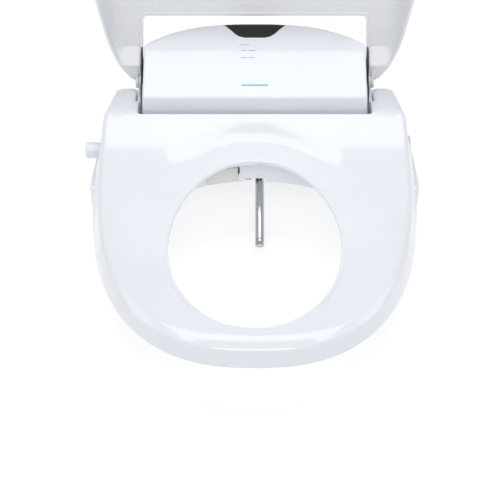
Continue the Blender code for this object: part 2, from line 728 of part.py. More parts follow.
def make_nozzles():
    """Both nozzles in their guide."""
    section = [(-140, -8.5), (-43, -8.5), (-43, -0.4), (-140, -0.4)]
    cradle = nozzle_prism("nozzle_cradle", section, -17.0, 15.0)
    channels = [nozzle_rod("channel", x, NOZZLE_R + 0.4, -150, -30, n=24) for x in (MAIN_X, FRONT_X)]
    cut(cradle, *channels)
    foot_y = nozzle_point(0, -128, -8)[1]
    foot = box("foot", (-17, foot_y - 3, FLOOR_Z[1] + 0.3), (-3, foot_y + 7, nozzle_point(0, -128, -8)[2]))
    fuse(cradle, foot)
    make_nozzle("main", MAIN_X, MAIN_TIP)
    make_nozzle("front", FRONT_X, FRONT_TIP)


# ---------------------------------------------------------------- dryer and fan


def make_dryer():
    """Flap, duct, heater, fan housing, impeller, motor and odour filter."""
    flap = flap_block("dryer_flap", 0, 41, 0.2, 2.2, FLAP_BOTTOM_Z, FLAP_TOP_Z - 1.6, "warm")
    barrel = [Vector((*along_flap(u, 1.2), 0)) for u in (0, 41)]
    fuse(flap, bar_between("barrel", barrel[0], barrel[1], 1.5, FLAP_TOP_Z - 1.5))
    duct_loft("dryer_duct", 0.0, 0.0, 1.0, "grey")
    duct_heater = duct_loft("dryer_heater", 2.6, 0.40, 0.56, "dark")
    slots = [box("slot", (-90 + 8 * i, -110, 18), (-87.5 + 8 * i, -70, 40)) for i in range(6)]
    cut(duct_heater, *slots)
    cx, cy = BLOWER
    fan = rod("blower_housing", BLOWER, 32.0, 14, 41, "grey", n=36)
    cut(fan, rod("inside", BLOWER, 30.0, 16, 39, n=36), rod("eye", BLOWER, 19.0, 30, 50, n=28),
        box("mouth", (cx - 15, cy - 40, 17), (cx + 15, cy - 20, 30)))
    blades = []
    for i in range(16):
        a = 2 * math.pi * i / 16
        for da, r in ((-0.10, 20.0), (-0.03, 27.0), (0.05, 27.0), (0.02, 20.0)):
            blades.append((cx + r * math.cos(a + da), cy + r * math.sin(a + da)))
    impeller = prism("blower_impeller", blades, 19, 35, "dark")
    cut(impeller, rod("well", BLOWER, 12.0, 22, 40, n=24), rod("bore", BLOWER, 1.9, 10, 40, n=16))
    motor = rod("blower_motor", BLOWER, 11.0, 36.5, 53, "zinc", n=24)
    turns = [2 * math.pi * i / 3 + 0.5 for i in range(3)]
    arms = [prism("arm", turned_strip(cx, cy, turn, 28, 2.5), 41.4, 44.0) for turn in turns]
    fuse(motor, rod("shaft", BLOWER, 1.6, 19.6, 37, n=16), *arms)
    filter_box = box("odour_filter", (-98, -58, 58), (-44, 16, 76), "dark")
    holes = [box("hole", (-94 + 13 * i, -54 + 12 * j, 50), (-84 + 13 * i, -45 + 12 * j, 74))
             for i in range(4) for j in range(6)]
    cut(filter_box, *holes)


def duct_section(t, shrink):
    """Rectangle across the duct at t = 0 (fan) to 1 (outlet)."""
    x0, x1, y = DUCT_REAR
    a, b = along_flap(DUCT_FRONT[0], 4.6), along_flap(DUCT_FRONT[1], 4.6)
    z0 = DUCT_Z[0]
    z1 = DUCT_Z[1] + (1 - t) * 5
    left = Vector((x0 + (a[0] - x0) * t, y + (a[1] - y) * t))
    right = Vector((x1 + (b[0] - x1) * t, y + (b[1] - y) * t))
    d = (right - left).normalized() * shrink
    left, right = left + d, right - d
    lo, hi = z0 + shrink, z1 - shrink
    return [(*left, lo), (*right, lo), (*right, hi), (*left, hi)]


def duct_loft(name, shrink, t0, t1, mat):
    """Solid or hollow stretch of the duct."""
    def block(label, s, a, b):
        return from_rings(label, [duct_section(a, s), duct_section(b, s)], mat)
    if shrink:
        return block(name, shrink, t0, t1)
    return cut(block(name, 0.0, t0, t1), block("air", 1.6, t0 - 0.1, t1 + 0.1))


def turned_strip(cx, cy, angle, length, half):
    """Strip outline from a centre outward at an angle."""
    c, s = math.cos(angle), math.sin(angle)
    return [(cx + c * u - s * v, cy + s * u + c * v) for u, v in ((5, -half), (length, -half), (length, half),
                                                                 (5, half))]


def bar_between(name, a, b, r, z):
    """Short round bar between two plan points at height z."""
    along = (b - a).normalized()
    across = Vector((-along.y, along.x, 0))
    rings = [[p + across * r * math.cos(t) + Vector((0, 0, z + r * math.sin(t))) for t in angles(12)]
             for p in (a, b)]
    return from_rings(name, rings, "warm")


# ---------------------------------------------------------------- release button

def make_release():
    """Side button with its latch bar."""
    y, z = BUTTON
    button = rod("release_button", BUTTON, 8.5, 188, 197, "white", "x", 28)
    rim = circle(y, z, 6.6, 28)
    fuse(button, prism("crown", rim, 196, 198.4, axis="x"))
    prism("release_latch", [(187.6, y - 4), (187.6, y + 4), (156, y + 4), (156, -22), (138, -22), (138, -30),
                                    (148, -30), (148, y - 4)], 14, 19, "grey")


# ---------------------------------------------------------------- sitting ring

def make_ring():
    """Upper and lower shells, heater foil, bumpers and hinge ears."""
    outline, opening = ring_outline(), opening_outline()
    rings = [(0, 9.0), (3, 4.0), (7, 1.0), (12, 0.0)]
    upper = slab("seat_upper_shell", [outline, opening], ring_bottom, ring_top, "white",
                 rings, 24, RING_DRAFT, 28)
    hollow = slab("hollow", [inset(outline, SHELL), inset(opening, SHELL)], less(ring_bottom, 5),
                  less(ring_top, SHELL + 0.3), rings=[(0, 9.0), (6, 0.0)], step=28,
                  top_inset=RING_DRAFT, low_step=28)
    cut(upper, hollow)
    loops = [inset(outline, SHELL + 4.4), inset(opening, SHELL + 4.4)]
    slab("seat_lower_shell", loops, less(ring_bottom, -0.2), less(ring_bottom, -2.0),
         "white", step=28, low_step=28)
    slab("seat_heater_foil", [clip_rear(inset(outline, 15), -130), inset(opening, 14)],
         less(ring_top, SHELL + 3.5), less(ring_top, SHELL + 2.8), "foil", step=28, low_step=28)
    for i, (x, y) in enumerate(((-92, -416), (92, -416)), 1):
        rod(f"seat_bumper_{i}", (x, y), 9.0, 0, RING_BOTTOM_Z - 0.2, "rubber", n=20)
    for side, s in (("left", -1), ("right", 1)):
        ear = prism(f"seat_hinge_ear_{side}",
                    [(-60.8, 50), (-24, 50), (-14, 67), (-21, 68.5), (-60.8, 74.5)],
                    *sorted((s * RING_EAR_X[0], s * RING_EAR_X[1])), "white", "x")
        fuse(ear, rod("knuckle", (HINGE_Y, HINGE_Z), EAR_R, *sorted((s * RING_EAR_X[0], s * RING_EAR_X[1])),
                      axis="x", n=28))
        cut(ear, rod("hole", (HINGE_Y, HINGE_Z), PIN_HOLE_R, *sorted((s * 140, s * 150)), axis="x"))


# ---------------------------------------------------------------- lid

def make_lid():
    """Lid with its ears and bumpers, built closed and turned open on an empty on the hinge line."""
    pivot = bpy.data.objects.new("lid_pivot", None)
    bpy.context.scene.collection.objects.link(pivot)
    pivot.location = (0, HINGE_Y * MM, HINGE_Z * MM)
    pivot.rotation_euler = (-math.radians(LID_OPEN_DEG), 0, 0)
    outline = lid_outline()
    rings = [(0, 5.0), (2.5, 2.5), (6, 1.0), (12, 0.0)]
    lid = slab("lid_shell", [outline], lid_bottom, lid_top, "lid", rings, 26, 2.0, 26)
    hollow = slab("hollow", [clip_rear(inset(outline, LID_WALL), BOSS_Y)], level(20), lid_roof,
                  rings=[(0, 4.0), (5, 1.5), (10, 0.0)], step=26)
    cut(lid, hollow)
    for s in (-1, 1):
        span = sorted((s * LID_EAR_X[0], s * LID_EAR_X[1]))
        web = prism("web", [(-30, 74), (-20, 70), (-8, 70), (-7, 84), (-28, 84)], *span, axis="x")
        knuckle = rod("knuckle", (HINGE_Y, HINGE_Z), EAR_R, *span, axis="x", n=28)
        room = rod("room", (HINGE_Y, HINGE_Z), EAR_R + 1.2, *sorted((s * 142, s * (LID_EAR_X[0] - 0.01))),
                   axis="x", n=28)
        cut(lid, room)
        fuse(lid, web, knuckle)
        cut(lid, rod("hole", (HINGE_Y, HINGE_Z), PIN_HOLE_R, *sorted((s * 140, s * 160)), axis="x"))
    pieces = [lid]
    for i, x in enumerate((-120, 120), 1):
        y = -400
        roof = lid_roof(x, y)
        pieces.append(rod(f"lid_bumper_{i}", (x, y), 7.0, ring_top(x, y) + 0.6, roof - 0.4, "rubber", n=20))
    offset = Matrix.Translation((0, -HINGE_Y * MM, -HINGE_Z * MM))
    for piece in pieces:
        piece.data.transform(offset)
        piece.parent = pivot


def lid_roof(x, y):
    """Underside of the lid's top, sloping down to the bosses at the hinge."""
    roof = lid_top(x, min(y, PANEL_START_Y)) - LID_WALL - 1.0
    t = min(max((y - PANEL_START_Y) / (BOSS_Y - PANEL_START_Y), 0.0), 1.0)
    return roof + (BOSS_Z - roof) * t


# ---------------------------------------------------------------- hinge hardware

def make_hinge():
    """Pins and soft-close dampers inside the housing."""
    for side, s, label in (("left", -1, "lid"), ("right", 1, "seat")):
        rod(f"hinge_pin_{side}", (HINGE_Y, HINGE_Z), PIN_R, *sorted((s * 134.2, s * 151.4)), "steel", "x", 24)
        rod(f"{label}_damper", (HINGE_Y, HINGE_Z), 9.5, *sorted((s * 104, s * 133.8)), "dark", "x", 24)


def main():
    """Build the whole seat."""
    for obj in list(bpy.data.objects):
        bpy.data.objects.remove(obj)
    MATERIALS.update(make_materials())
    make_fixing()
    make_base()
    make_housing()
    make_water()
    make_power()
    make_nozzles()
    make_dryer()
    make_release()
    make_ring()
    make_lid()
    make_hinge()


main()
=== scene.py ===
"""Looks of the electric bidet seat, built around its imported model.

Lengths are in millimetres until a mesh is made.
"""

import json
import math

import bmesh
import bpy
import numpy as np
from mathutils import Matrix, Vector
from mathutils.geometry import delaunay_2d_cdt


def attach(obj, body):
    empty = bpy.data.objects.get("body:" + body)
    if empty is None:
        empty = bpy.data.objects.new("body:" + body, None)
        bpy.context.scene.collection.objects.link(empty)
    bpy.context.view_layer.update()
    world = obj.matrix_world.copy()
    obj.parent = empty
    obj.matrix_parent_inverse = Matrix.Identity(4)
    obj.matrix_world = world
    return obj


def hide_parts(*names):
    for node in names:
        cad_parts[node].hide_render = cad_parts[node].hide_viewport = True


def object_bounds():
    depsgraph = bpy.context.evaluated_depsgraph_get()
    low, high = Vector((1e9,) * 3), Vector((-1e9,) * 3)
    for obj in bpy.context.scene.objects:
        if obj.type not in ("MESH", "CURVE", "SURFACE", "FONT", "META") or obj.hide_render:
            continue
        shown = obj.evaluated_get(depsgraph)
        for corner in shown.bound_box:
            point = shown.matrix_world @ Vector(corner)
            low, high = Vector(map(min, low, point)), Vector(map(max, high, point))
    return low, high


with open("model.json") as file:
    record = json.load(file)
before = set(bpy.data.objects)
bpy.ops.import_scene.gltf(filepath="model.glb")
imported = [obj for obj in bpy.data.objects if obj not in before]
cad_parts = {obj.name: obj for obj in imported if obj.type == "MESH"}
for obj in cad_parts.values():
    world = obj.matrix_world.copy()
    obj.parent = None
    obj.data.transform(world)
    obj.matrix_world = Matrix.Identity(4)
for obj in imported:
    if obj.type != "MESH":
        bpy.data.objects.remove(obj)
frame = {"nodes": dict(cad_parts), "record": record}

CAD_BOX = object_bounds()
MM = 0.001
SHELL_WALL = 2.4
NEAR_AXIS = 0.01                    # radius that stands for the middle of a turned piece
LONGEST_EDGE = 3.5                  # of an outline

# Sitting ring
RING_MID_Y = -150.0                 # where it is widest
RING_HALF = 194.5
RING_FRONT_Y = -470.0
RING_POWER = 2.47
RING_FRONT_Z = 44.5
RAMP_START_Y = -260.0
RAMP_TOP_Z = 83.0
NOTCH_Y = -94.0                     # front of the notch round the housing
RING_NOTCH_X = 143.3
WING_LEG_X = 148.2                  # inner side of the wings, behind the ears
WING_FALL = 0.135                   # slope of the wings to the rear
TAIL_Y = (-42.0, -22.0)             # where the wings' edges turn sharp
OPENING_MID_Y = -298.5
OPENING_HALF = (98.5, 136.5)
OPENING_POWER = 2.1
RING_BOTTOM_Z = (13.0, 34.8)        # lower rim in front and over the base
RING_LIFT_Y = (-248.0, -190.0)
SHOULDER = (8.0, 17.0)              # fall and reach at the front's outer edge
SHOULDER_Y = (-250.0, -440.0)
FRONT_TILT = (4.0, 36.0)            # fall and reach, away from the opening
TILT_Y = (-270.0, -420.0)
LIP_DEPTH = 3.2                     # thickness at the opening
LIP_REACH = 24.0
DISH_DEPTH = 6.0
DISH_REACH = (36.0, 60.0)           # deepest place and end, from the opening
DISH_X = (62.0, 122.0)              # where it fades to the sides
DISH_Y = (-235.0, -175.0)
PLATE_INSET = (7.6, 5.0)            # from the outline and from the opening
FOIL_INSET = (17.0, 15.0)
FOIL_DEPTH = (3.9, 4.4)
FOIL_REAR_Y = -142.0

# Hinge line, as (y, z)
HINGE = (-14.0, 75.0)
LID_OPEN_DEG = 100.0
LID_EAR_X = (148.2, 151.6)
LID_GAP_X = 142.0
EAR_R = 8.0
EAR_WEB = [(-30, 74), (-20, 70), (-8, 70), (-7, 84), (-28, 84)]
PIN_HOLE_R = 4.3

# Lid in its closed place
LID_HALF = 197.0
LID_FRONT_Y = -476.0
LID_Z = (66.0, 104.0)               # top at the front and at the notch
LID_NOTCH_X = (140.6, 143.5)        # at the notch's front and at the ears
LID_REAR_SIDE = [(196.0, -138), (194.3, -124), (190.4, -94), (187.0, -74), (181.2, -54), (171.4, -35.5),
                 (165.1, -27), (158.2, -19)]
LID_EDGE = [(-480, 38), (-160, 38), (-120, 56), (-90, 71), (-60, 79), (-36, 75.5), (20, 75.5)]   # (y, z)
LID_LIP = 6.0                       # edge below the top, along the notch
LID_WALL = 3.0
LID_RIM = 10.5                      # width of the slope inside the wall
PANEL_START_Y = -54.0               # crease between the inner panel and the ledge
LEDGE_END = (-35.5, 75.5)           # rear end of the ledge, as (y, z)

# Housing cover
HOUSING_HALF = 140.0
HOUSING_FRONT_Y = -91.0
HOUSING_REAR_Y = 50.0
HOUSING_EDGE = (-88.0, 101.3)       # the front face's lower and upper ends, as (y, z)
HOUSING_CREASE = (-21.0, 135.0)
RIDGE_Y = 23.0                      # rear end of the crown, in the middle
RIDGE_SWEEP = 51.0                  # how far the ends of the ridge come forward
RIDGE_R = 12.0
REAR_FALL = 1.2                     # slope behind the ridge
HOUSING_BOTTOM_Z = 32.8
WINDOW_SIDE = [(12.5, -5.6), (19.5, -2.6), (25.0, 3.4), (29.8, 11.5), (38.6, 24.4), (24, 27.4), (0, 29.5)]
DASH_ROWS = {-20.8: [(-17.6, -7.4)],
             -29.3: [(-17.6, -10.4), (-8.0, 0.2)],
             -38.2: [(-17.6, -10.4), (-8.0, 0.2)]}
DASH_WIDTH = 0.9
ACCENT_HALF = 16.5
ACCENT_Y = (-74.2, -72.2)

# Base
BAY_ARC_R = 190.6                   # curved wall behind the opening
BAY_ARC_X = 112.0
BAY_MID_Y = -131.0
ARM_FRONT_Y = -181.5
BASE_SIDE = [(199.2, -157), (197, -120), (194, -80), (190, -50), (184, -20), (173, 10), (159, 30)]
BASE_REAR_Y = 50.5
DECK_Z = (29.8, 32.5)
RACK_WAY_X = (-14.0, 12.0)
RACK_WAY_Y = (-97.0, -80.0)

# Nozzles, inlet and button, with axes as (y, z)
NOZZLE_PITCH = math.radians(30)
NOZZLE_START = (-126.0, -1.8)       # where a nozzle's middle line leaves the base
NOZZLE_R = 5.5
NOZZLE_WALL = 0.45
NOZZLE_LENGTH = 130.0
NOSE_R = 1.6
SPRAY_R = 1.15
SPRAY_BACK = 9.0
INLET_AXIS = (-85.5, 19.0)
INLET_BORE_R = 6.6
BUTTON_AXIS = (-72.0, 20.5)

# Camera: level with the object's middle line, looking down at its front
CAMERA_PLACE = (0.0, -1.5682, 1.0985)
CAMERA_PITCH_DEG = 40.0
CAMERA_LENS = 104.24
CAMERA_SHIFT_X = -0.0096

NODE_SLOT = {part["node"]: part["material_slot"] for part in frame["record"]["subparts"]}


# ---------------------------------------------------------------- materials

def principled(name, colour, roughness, **sockets):
    """New Principled material, with its node tree and shader."""
    mat = bpy.data.materials.new(name)
    mat.use_nodes = True
    shader = mat.node_tree.nodes["Principled BSDF"]
    shader.inputs["Base Color"].default_value = (*colour, 1.0)
    shader.inputs["Roughness"].default_value = roughness
    for key, value in sockets.items():
        shader.inputs[key.replace("_", " ")].default_value = value
    return mat, mat.node_tree, shader


def noise(tree, scale, detail=3.0, stretch=(1, 1, 1)):
    """Noise in object space, stretched along the axes."""
    place = tree.nodes.new("ShaderNodeTexCoord")
    mapping = tree.nodes.new("ShaderNodeMapping")
    mapping.inputs["Scale"].default_value = stretch
    texture = tree.nodes.new("ShaderNodeTexNoise")
    texture.inputs["Scale"].default_value = scale
    texture.inputs["Detail"].default_value = detail
    tree.links.new(place.outputs["Object"], mapping.inputs["Vector"])
    tree.links.new(mapping.outputs["Vector"], texture.inputs["Vector"])
    return texture.outputs["Fac"]


def spread(tree, value, low, high):
    """Map a 0 to 1 value onto low to high."""
    node = tree.nodes.new("ShaderNodeMapRange")
    node.inputs["To Min"].default_value = low
    node.inputs["To Max"].default_value = high
    tree.links.new(value, node.inputs["Value"])
    return node.outputs["Result"]


def tint(tree, shader, value, dark, light):
    """Base colour that drifts between two tones."""
    ramp = tree.nodes.new("ShaderNodeValToRGB")
    ramp.color_ramp.elements[0].position = 0.3
    ramp.color_ramp.elements[1].position = 0.7
    ramp.color_ramp.elements[0].color = (*dark, 1.0)
    ramp.color_ramp.elements[1].color = (*light, 1.0)
    tree.links.new(value, ramp.inputs["Fac"])
    tree.links.new(ramp.outputs["Color"], shader.inputs["Base Color"])


def bump(tree, shader, value, strength, distance):
    """Fine relief."""
    node = tree.nodes.new("ShaderNodeBump")
    node.inputs["Strength"].default_value = strength
    node.inputs["Distance"].default_value = distance
    tree.links.new(value, node.inputs["Height"])
    tree.links.new(node.outputs["Normal"], shader.inputs["Normal"])


def moulded(name, colour, roughness, drift=0.012, grain=900.0, relief=0.04, **sockets):
    """Moulded plastic: slow drift of tone, patchy sheen and a fine skin."""
    mat, tree, shader = principled(name, colour, roughness, **sockets)
    tone = noise(tree, 14.0, 2.0)
    tint(tree, shader, tone, [c - drift for c in colour], [c + drift * 0.5 for c in colour])
    sheen = noise(tree, 60.0, 4.0)
    tree.links.new(spread(tree, sheen, roughness * 0.8, roughness * 1.2), shader.inputs["Roughness"])
    bump(tree, shader, noise(tree, grain, 2.0), relief, 0.0001)
    return mat


def metal(name, colour, roughness, stretch, drift=0.05):
    """Drawn or plated metal with fine lines along the stretch."""
    mat, tree, shader = principled(name, colour, roughness, Metallic=1.0)
    lines = noise(tree, 350.0, 6.0, stretch)
    tint(tree, shader, lines, [c - drift for c in colour], colour)
    tree.links.new(spread(tree, lines, roughness * 0.7, roughness * 1.4), shader.inputs["Roughness"])
    bump(tree, shader, lines, 0.05, 0.0001)
    return mat


def circuit_board():
    """Green laminate with fine tracks."""
    mat, tree, shader = principled("board_green", (0.02, 0.16, 0.06), 0.4)
    cells = tree.nodes.new("ShaderNodeTexBrick")
    cells.inputs["Scale"].default_value = 260.0
    cells.inputs["Mortar Size"].default_value = 0.03
    cells.inputs["Color1"].default_value = (0.015, 0.13, 0.05, 1)
    cells.inputs["Color2"].default_value = (0.02, 0.18, 0.07, 1)
    cells.inputs["Mortar"].default_value = (0.35, 0.33, 0.12, 1)
    place = tree.nodes.new("ShaderNodeTexCoord")
    tree.links.new(place.outputs["Object"], cells.inputs["Vector"])
    tree.links.new(cells.outputs["Color"], shader.inputs["Base Color"])
    return mat


def heater_foil():
    """Foil with a meandering printed track."""
    mat, tree, shader = principled("foil", (0.7, 0.42, 0.2), 0.35, Metallic=0.6)
    wave = tree.nodes.new("ShaderNodeTexWave")
    wave.inputs["Scale"].default_value = 60.0
    wave.inputs["Distortion"].default_value = 3.0
    place = tree.nodes.new("ShaderNodeTexCoord")
    tree.links.new(place.outputs["Object"], wave.inputs["Vector"])
    tint(tree, shader, wave.outputs["Fac"], (0.75, 0.72, 0.68), (0.6, 0.33, 0.14))
    return mat


MATERIALS = {
    "gloss_white": moulded("gloss_white", (0.79, 0.812, 0.868), 0.13, Coat_Weight=0.35, Coat_Roughness=0.04),
    "lid_white": moulded("lid_white", (0.85, 0.865, 0.89), 0.18, Coat_Weight=0.2, Coat_Roughness=0.06),
    "warm_white": moulded("warm_white", (0.74, 0.735, 0.72), 0.38),
    "inner_grey": moulded("inner_grey", (0.42, 0.43, 0.45), 0.5, 0.02, 500.0, 0.2),
    "dark_plastic": moulded("dark_plastic", (0.03, 0.03, 0.035), 0.45, 0.006, 500.0, 0.2),
    "smoked_window": moulded("smoked_window", (0.012, 0.011, 0.014), 0.09, 0.002, IOR=1.33),
    "stainless": metal("stainless", (0.53, 0.53, 0.54), 0.09, (1.0, 0.03, 0.03), 0.02),
    "zinc_plated": metal("zinc_plated", (0.55, 0.56, 0.58), 0.32, (1, 1, 1)),
    "circuit_board": circuit_board(),
    "grey_rubber": moulded("grey_rubber", (0.16, 0.165, 0.175), 0.8, 0.01, 700.0, 0.35),
    "heater_foil": heater_foil(),
    "silicone_hose": moulded("silicone_hose", (0.75, 0.75, 0.72), 0.42),
}
PRINT_GREY = moulded("print_grey", (0.36, 0.38, 0.46), 0.5)
ACCENT_BLUE = moulded("accent_blue", (0.22, 0.47, 0.72), 0.4)
BUTTON_PINK = moulded("button_pink", (0.66, 0.40, 0.42), 0.4)


# ---------------------------------------------------------------- outlines

def ease(t):
    """Smooth step from 0 to 1."""
    t = np.clip(t, 0.0, 1.0)
    return t * t * (3 - 2 * t)


def eased(value, span):
    """Smooth step from 0 at the span's start to 1 at its end."""
    start, end = span
    return ease((value - start) / (end - start))


def superellipse(half, mid_y, front_y, power):
    """Front right quarter, from the centre line to the widest point."""
    t = np.linspace(0, math.pi / 2, 90)
    x = half * np.sin(t) ** (2 / power)
    y = mid_y + (front_y - mid_y) * np.cos(t) ** (2 / power)
    return [tuple(p) for p in np.column_stack((x, y))]


def fillet(corners):
    """Points along corners (x, y, radius), with arcs in place of those that have a radius."""
    out = []
    before, after = [corners[0]] + corners[:-1], corners[1:] + [corners[-1]]
    for previous, corner, following in zip(before, corners, after):
        a, b, c = (Vector(p[:2]) for p in (previous, corner, following))
        r = corner[2]
        if not r:
            out.append(corner[:2])
            continue
        u, v = (a - b).normalized(), (c - b).normalized()
        half = math.acos(max(-1.0, min(1.0, u.dot(v)))) / 2
        start, end = b + u * r / math.tan(half), b + v * r / math.tan(half)
        centre = b + (u + v).normalized() * r / math.sin(half)
        turn = math.pi - 2 * half
        steps = max(3, int(turn * r / 0.8))
        for i in range(steps + 1):
            t = i / steps
            p = start.lerp(end, t) - centre
            out.append(tuple(centre + p.normalized() * r))
    return out


def divided(loop, longest):
    """Closed loop with long edges split evenly."""
    out = []
    for (ax, ay), (bx, by) in zip(loop, loop[1:] + loop[:1]):
        length = math.hypot(bx - ax, by - ay)
        if length < 0.05:
            continue
        count = max(1, math.ceil(length / longest))
        out += [(ax + (bx - ax) * i / count, ay + (by - ay) * i / count) for i in range(count)]
    return out


def both_sides(right_half):
    """Closed outline from its right half."""
    return right_half + [(-x, y) for x, y in reversed(right_half) if x > 0.01]


def mirrored(right_half):
    """Closed counter-clockwise loop from its right half, front centre to rear centre."""
    return np.array(divided(both_sides(right_half), LONGEST_EDGE))


def curve_through(points):
    """Catmull-Rom curve through plan points."""
    steps = 6
    p = [Vector(q) for q in points]
    p = [2 * p[0] - p[1]] + p + [2 * p[-1] - p[-2]]
    out = []
    for a, b, c, d in zip(p, p[1:], p[2:], p[3:]):
        for k in range(steps):
            t = k / steps
            out.append(tuple(0.5 * (2 * b + (c - a) * t + (2 * a - 5 * b + 4 * c - d) * t * t
                                    + (3 * b - 3 * c + d - a) * t ** 3)))
    out.append(tuple(p[-2]))
    return out


def segments(loop):
    """Edges of a closed loop as start and end points."""
    return np.stack((loop, np.roll(loop, -1, axis=0)), axis=1)


def distance(points, edges):
    """Shortest distance from each plan point to a set of edges."""
    out = np.empty(len(points))
    a, ab = edges[:, 0], edges[:, 1] - edges[:, 0]
    size = np.maximum((ab ** 2).sum(1), 1e-9)
    for i in range(0, len(points), 2000):
        p = points[i:i + 2000, None, :] - a
        t = np.clip((p * ab).sum(2) / size, 0, 1)
        out[i:i + 2000] = np.sqrt(((p - t[..., None] * ab) ** 2).sum(2)).min(1)
    return out


def inset(loop, d):
    """Loop moved to its left by d."""
    before, after = loop - np.roll(loop, 1, axis=0), np.roll(loop, -1, axis=0) - loop
    before /= np.linalg.norm(before, axis=1)[:, None]
    after /= np.linalg.norm(after, axis=1)[:, None]
    nb, na = np.column_stack((-before[:, 1], before[:, 0])), np.column_stack((-after[:, 1], after[:, 0]))
    mid = nb + na
    mid /= np.maximum(np.linalg.norm(mid, axis=1), 1e-6)[:, None]
    return loop + mid * (d / np.maximum((mid * nb).sum(1), 0.6))[:, None]


def clipped(loop, limit):
    """Part of a loop in front of a limit in y, with its crossings."""
    out = []
    for (x1, y1), (x2, y2) in segments(loop):
        if y1 < limit:
            out.append((x1, y1))
        if (y1 < limit) != (y2 < limit):
            out.append((x1 + (x2 - x1) * (limit - y1) / (y2 - y1), limit))
    return out


def within(points, loop):
    """Which plan points lie inside a closed loop."""
    hit = np.zeros(len(points), bool)
    for (x1, y1), (x2, y2) in segments(loop):
        if y1 == y2:
            continue
        side = (y1 > points[:, 1]) != (y2 > points[:, 1])
        hit ^= side & (points[:, 0] < x1 + (points[:, 1] - y1) * (x2 - x1) / (y2 - y1))
    return hit


def inside(points, loops):
    """Which plan points lie in the first loop and in none of the others."""
    keep = within(points, loops[0])
    for hole in loops[1:]:
        keep &= ~within(points, hole)
    return keep


def grid_over(loop, step):
    """Evenly spaced plan points over a loop's box."""
    low, high = loop.min(0), loop.max(0)
    counts = np.ceil((high - low) / step).astype(int)
    xs = low[0] + (np.arange(counts[0]) + 0.5) * (high[0] - low[0]) / counts[0]
    ys = low[1] + (np.arange(counts[1]) + 0.5) * (high[1] - low[1]) / counts[1]
    return np.array([(x, y) for x in xs for y in ys])


def triangulate(loops, depths, step, creases=()):
    """Plan mesh between loops, with rows at the given depths, crease lines and a grid inside them."""
    edges = np.concatenate([segments(loop) for loop in loops])
    sets = list(loops) + list(creases)
    for d in depths:
        for loop in loops:
            row = inset(loop, d)
            sets.append(row[distance(row, edges) > d * 0.985])
    if step:
        deepest = depths[-1] if len(depths) else 0.0
        grid = grid_over(loops[0], step)
        grid = grid[inside(grid, loops)]
        sets.append(grid[distance(grid, edges) > deepest + step * 0.5])
    fixed, base = [], 0
    for loop in loops:
        fixed += [(base + i, base + (i + 1) % len(loop)) for i in range(len(loop))]
        base += len(loop)
    rim_count = base
    for crease in creases:
        fixed += [(base + i, base + i + 1) for i in range(len(crease) - 1)]
        base += len(crease)
    points = [Vector(p) for p in np.concatenate(sets)]
    flat, _, faces, origin, _, _ = delaunay_2d_cdt(points, fixed, [], 0, 1e-4)
    flat = np.array([tuple(p) for p in flat])
    faces = np.array([f for f in faces if len(f) == 3])
    index = {old: new for new, olds in enumerate(origin) for old in olds}
    return flat, faces[inside(flat[faces].mean(1), loops)], [index[i] for i in range(rim_count)]


# ---------------------------------------------------------------- height fields

# Distances from an edge at which a moulding gets a row of points
ROWS = [0.7, 1.3, 2.0, 2.8, 3.6, 4.5, 5.4, 6.4, 7.6, 9.0, 10.6, 12.4, 14.6]


def edges_where(loop, test):
    """Edges of a loop whose middles pass a test."""
    parts = segments(loop)
    mids = parts.mean(1)
    return parts[test(mids[:, 0], mids[:, 1])]


def rounded_drop(d, wall, height, radius):
    """Drop below the top at depth d from an edge: a drafted wall, then a quarter round."""
    radius = np.minimum(radius, height * 0.98)
    on_wall = radius + (height - radius) * (1 - d / wall)
    t = np.clip(1 - (d - wall) / radius, 0.0, 1.0)
    over = radius * (1 - np.sqrt(1 - t * t))
    return np.where(d < wall, on_wall, over)


def joined(drops, height):
    """Drops from several edges as one, rounded where they meet."""
    return np.minimum(sum(d ** 4 for d in drops) ** 0.25, height)


def level_at(height):
    """Height function of a flat face."""
    return lambda points: np.full(len(points), height)


def smaller(a, b, k):
    """Smooth minimum of two height fields."""
    h = np.clip(0.5 + 0.5 * (b - a) / k, 0, 1)
    return b * (1 - h) + a * h - k * h * (1 - h)


# ---------------------------------------------------------------- mesh helpers

def add_mesh(name, verts, faces, mat, smooth_deg=35.0, weld=0.0):
    """Object in metres from millimetre points, smooth but for its sharp edges."""
    bm = bmesh.new()
    made = [bm.verts.new(Vector(v) * MM) for v in verts]
    for face in faces:
        if len(set(face)) > 2:
            bm.faces.new([made[i] for i in face])
    bmesh.ops.delete(bm, geom=[v for v in bm.verts if not v.link_faces], context='VERTS')
    if weld:
        bmesh.ops.remove_doubles(bm, verts=bm.verts, dist=weld * MM)
    bmesh.ops.recalc_face_normals(bm, faces=bm.faces)
    mesh = bpy.data.meshes.new(name)
    bm.to_mesh(mesh)
    bm.free()
    obj = bpy.data.objects.new(name, mesh)
    bpy.context.scene.collection.objects.link(obj)
    mesh.materials.append(mat)
    finish_shading(obj, smooth_deg)
    return obj


def finish_shading(obj, smooth_deg=35.0):
    """Smooth shading with sharp edges kept."""
    obj.data.shade_smooth()
    obj.data.set_sharp_from_angle(angle=math.radians(smooth_deg))


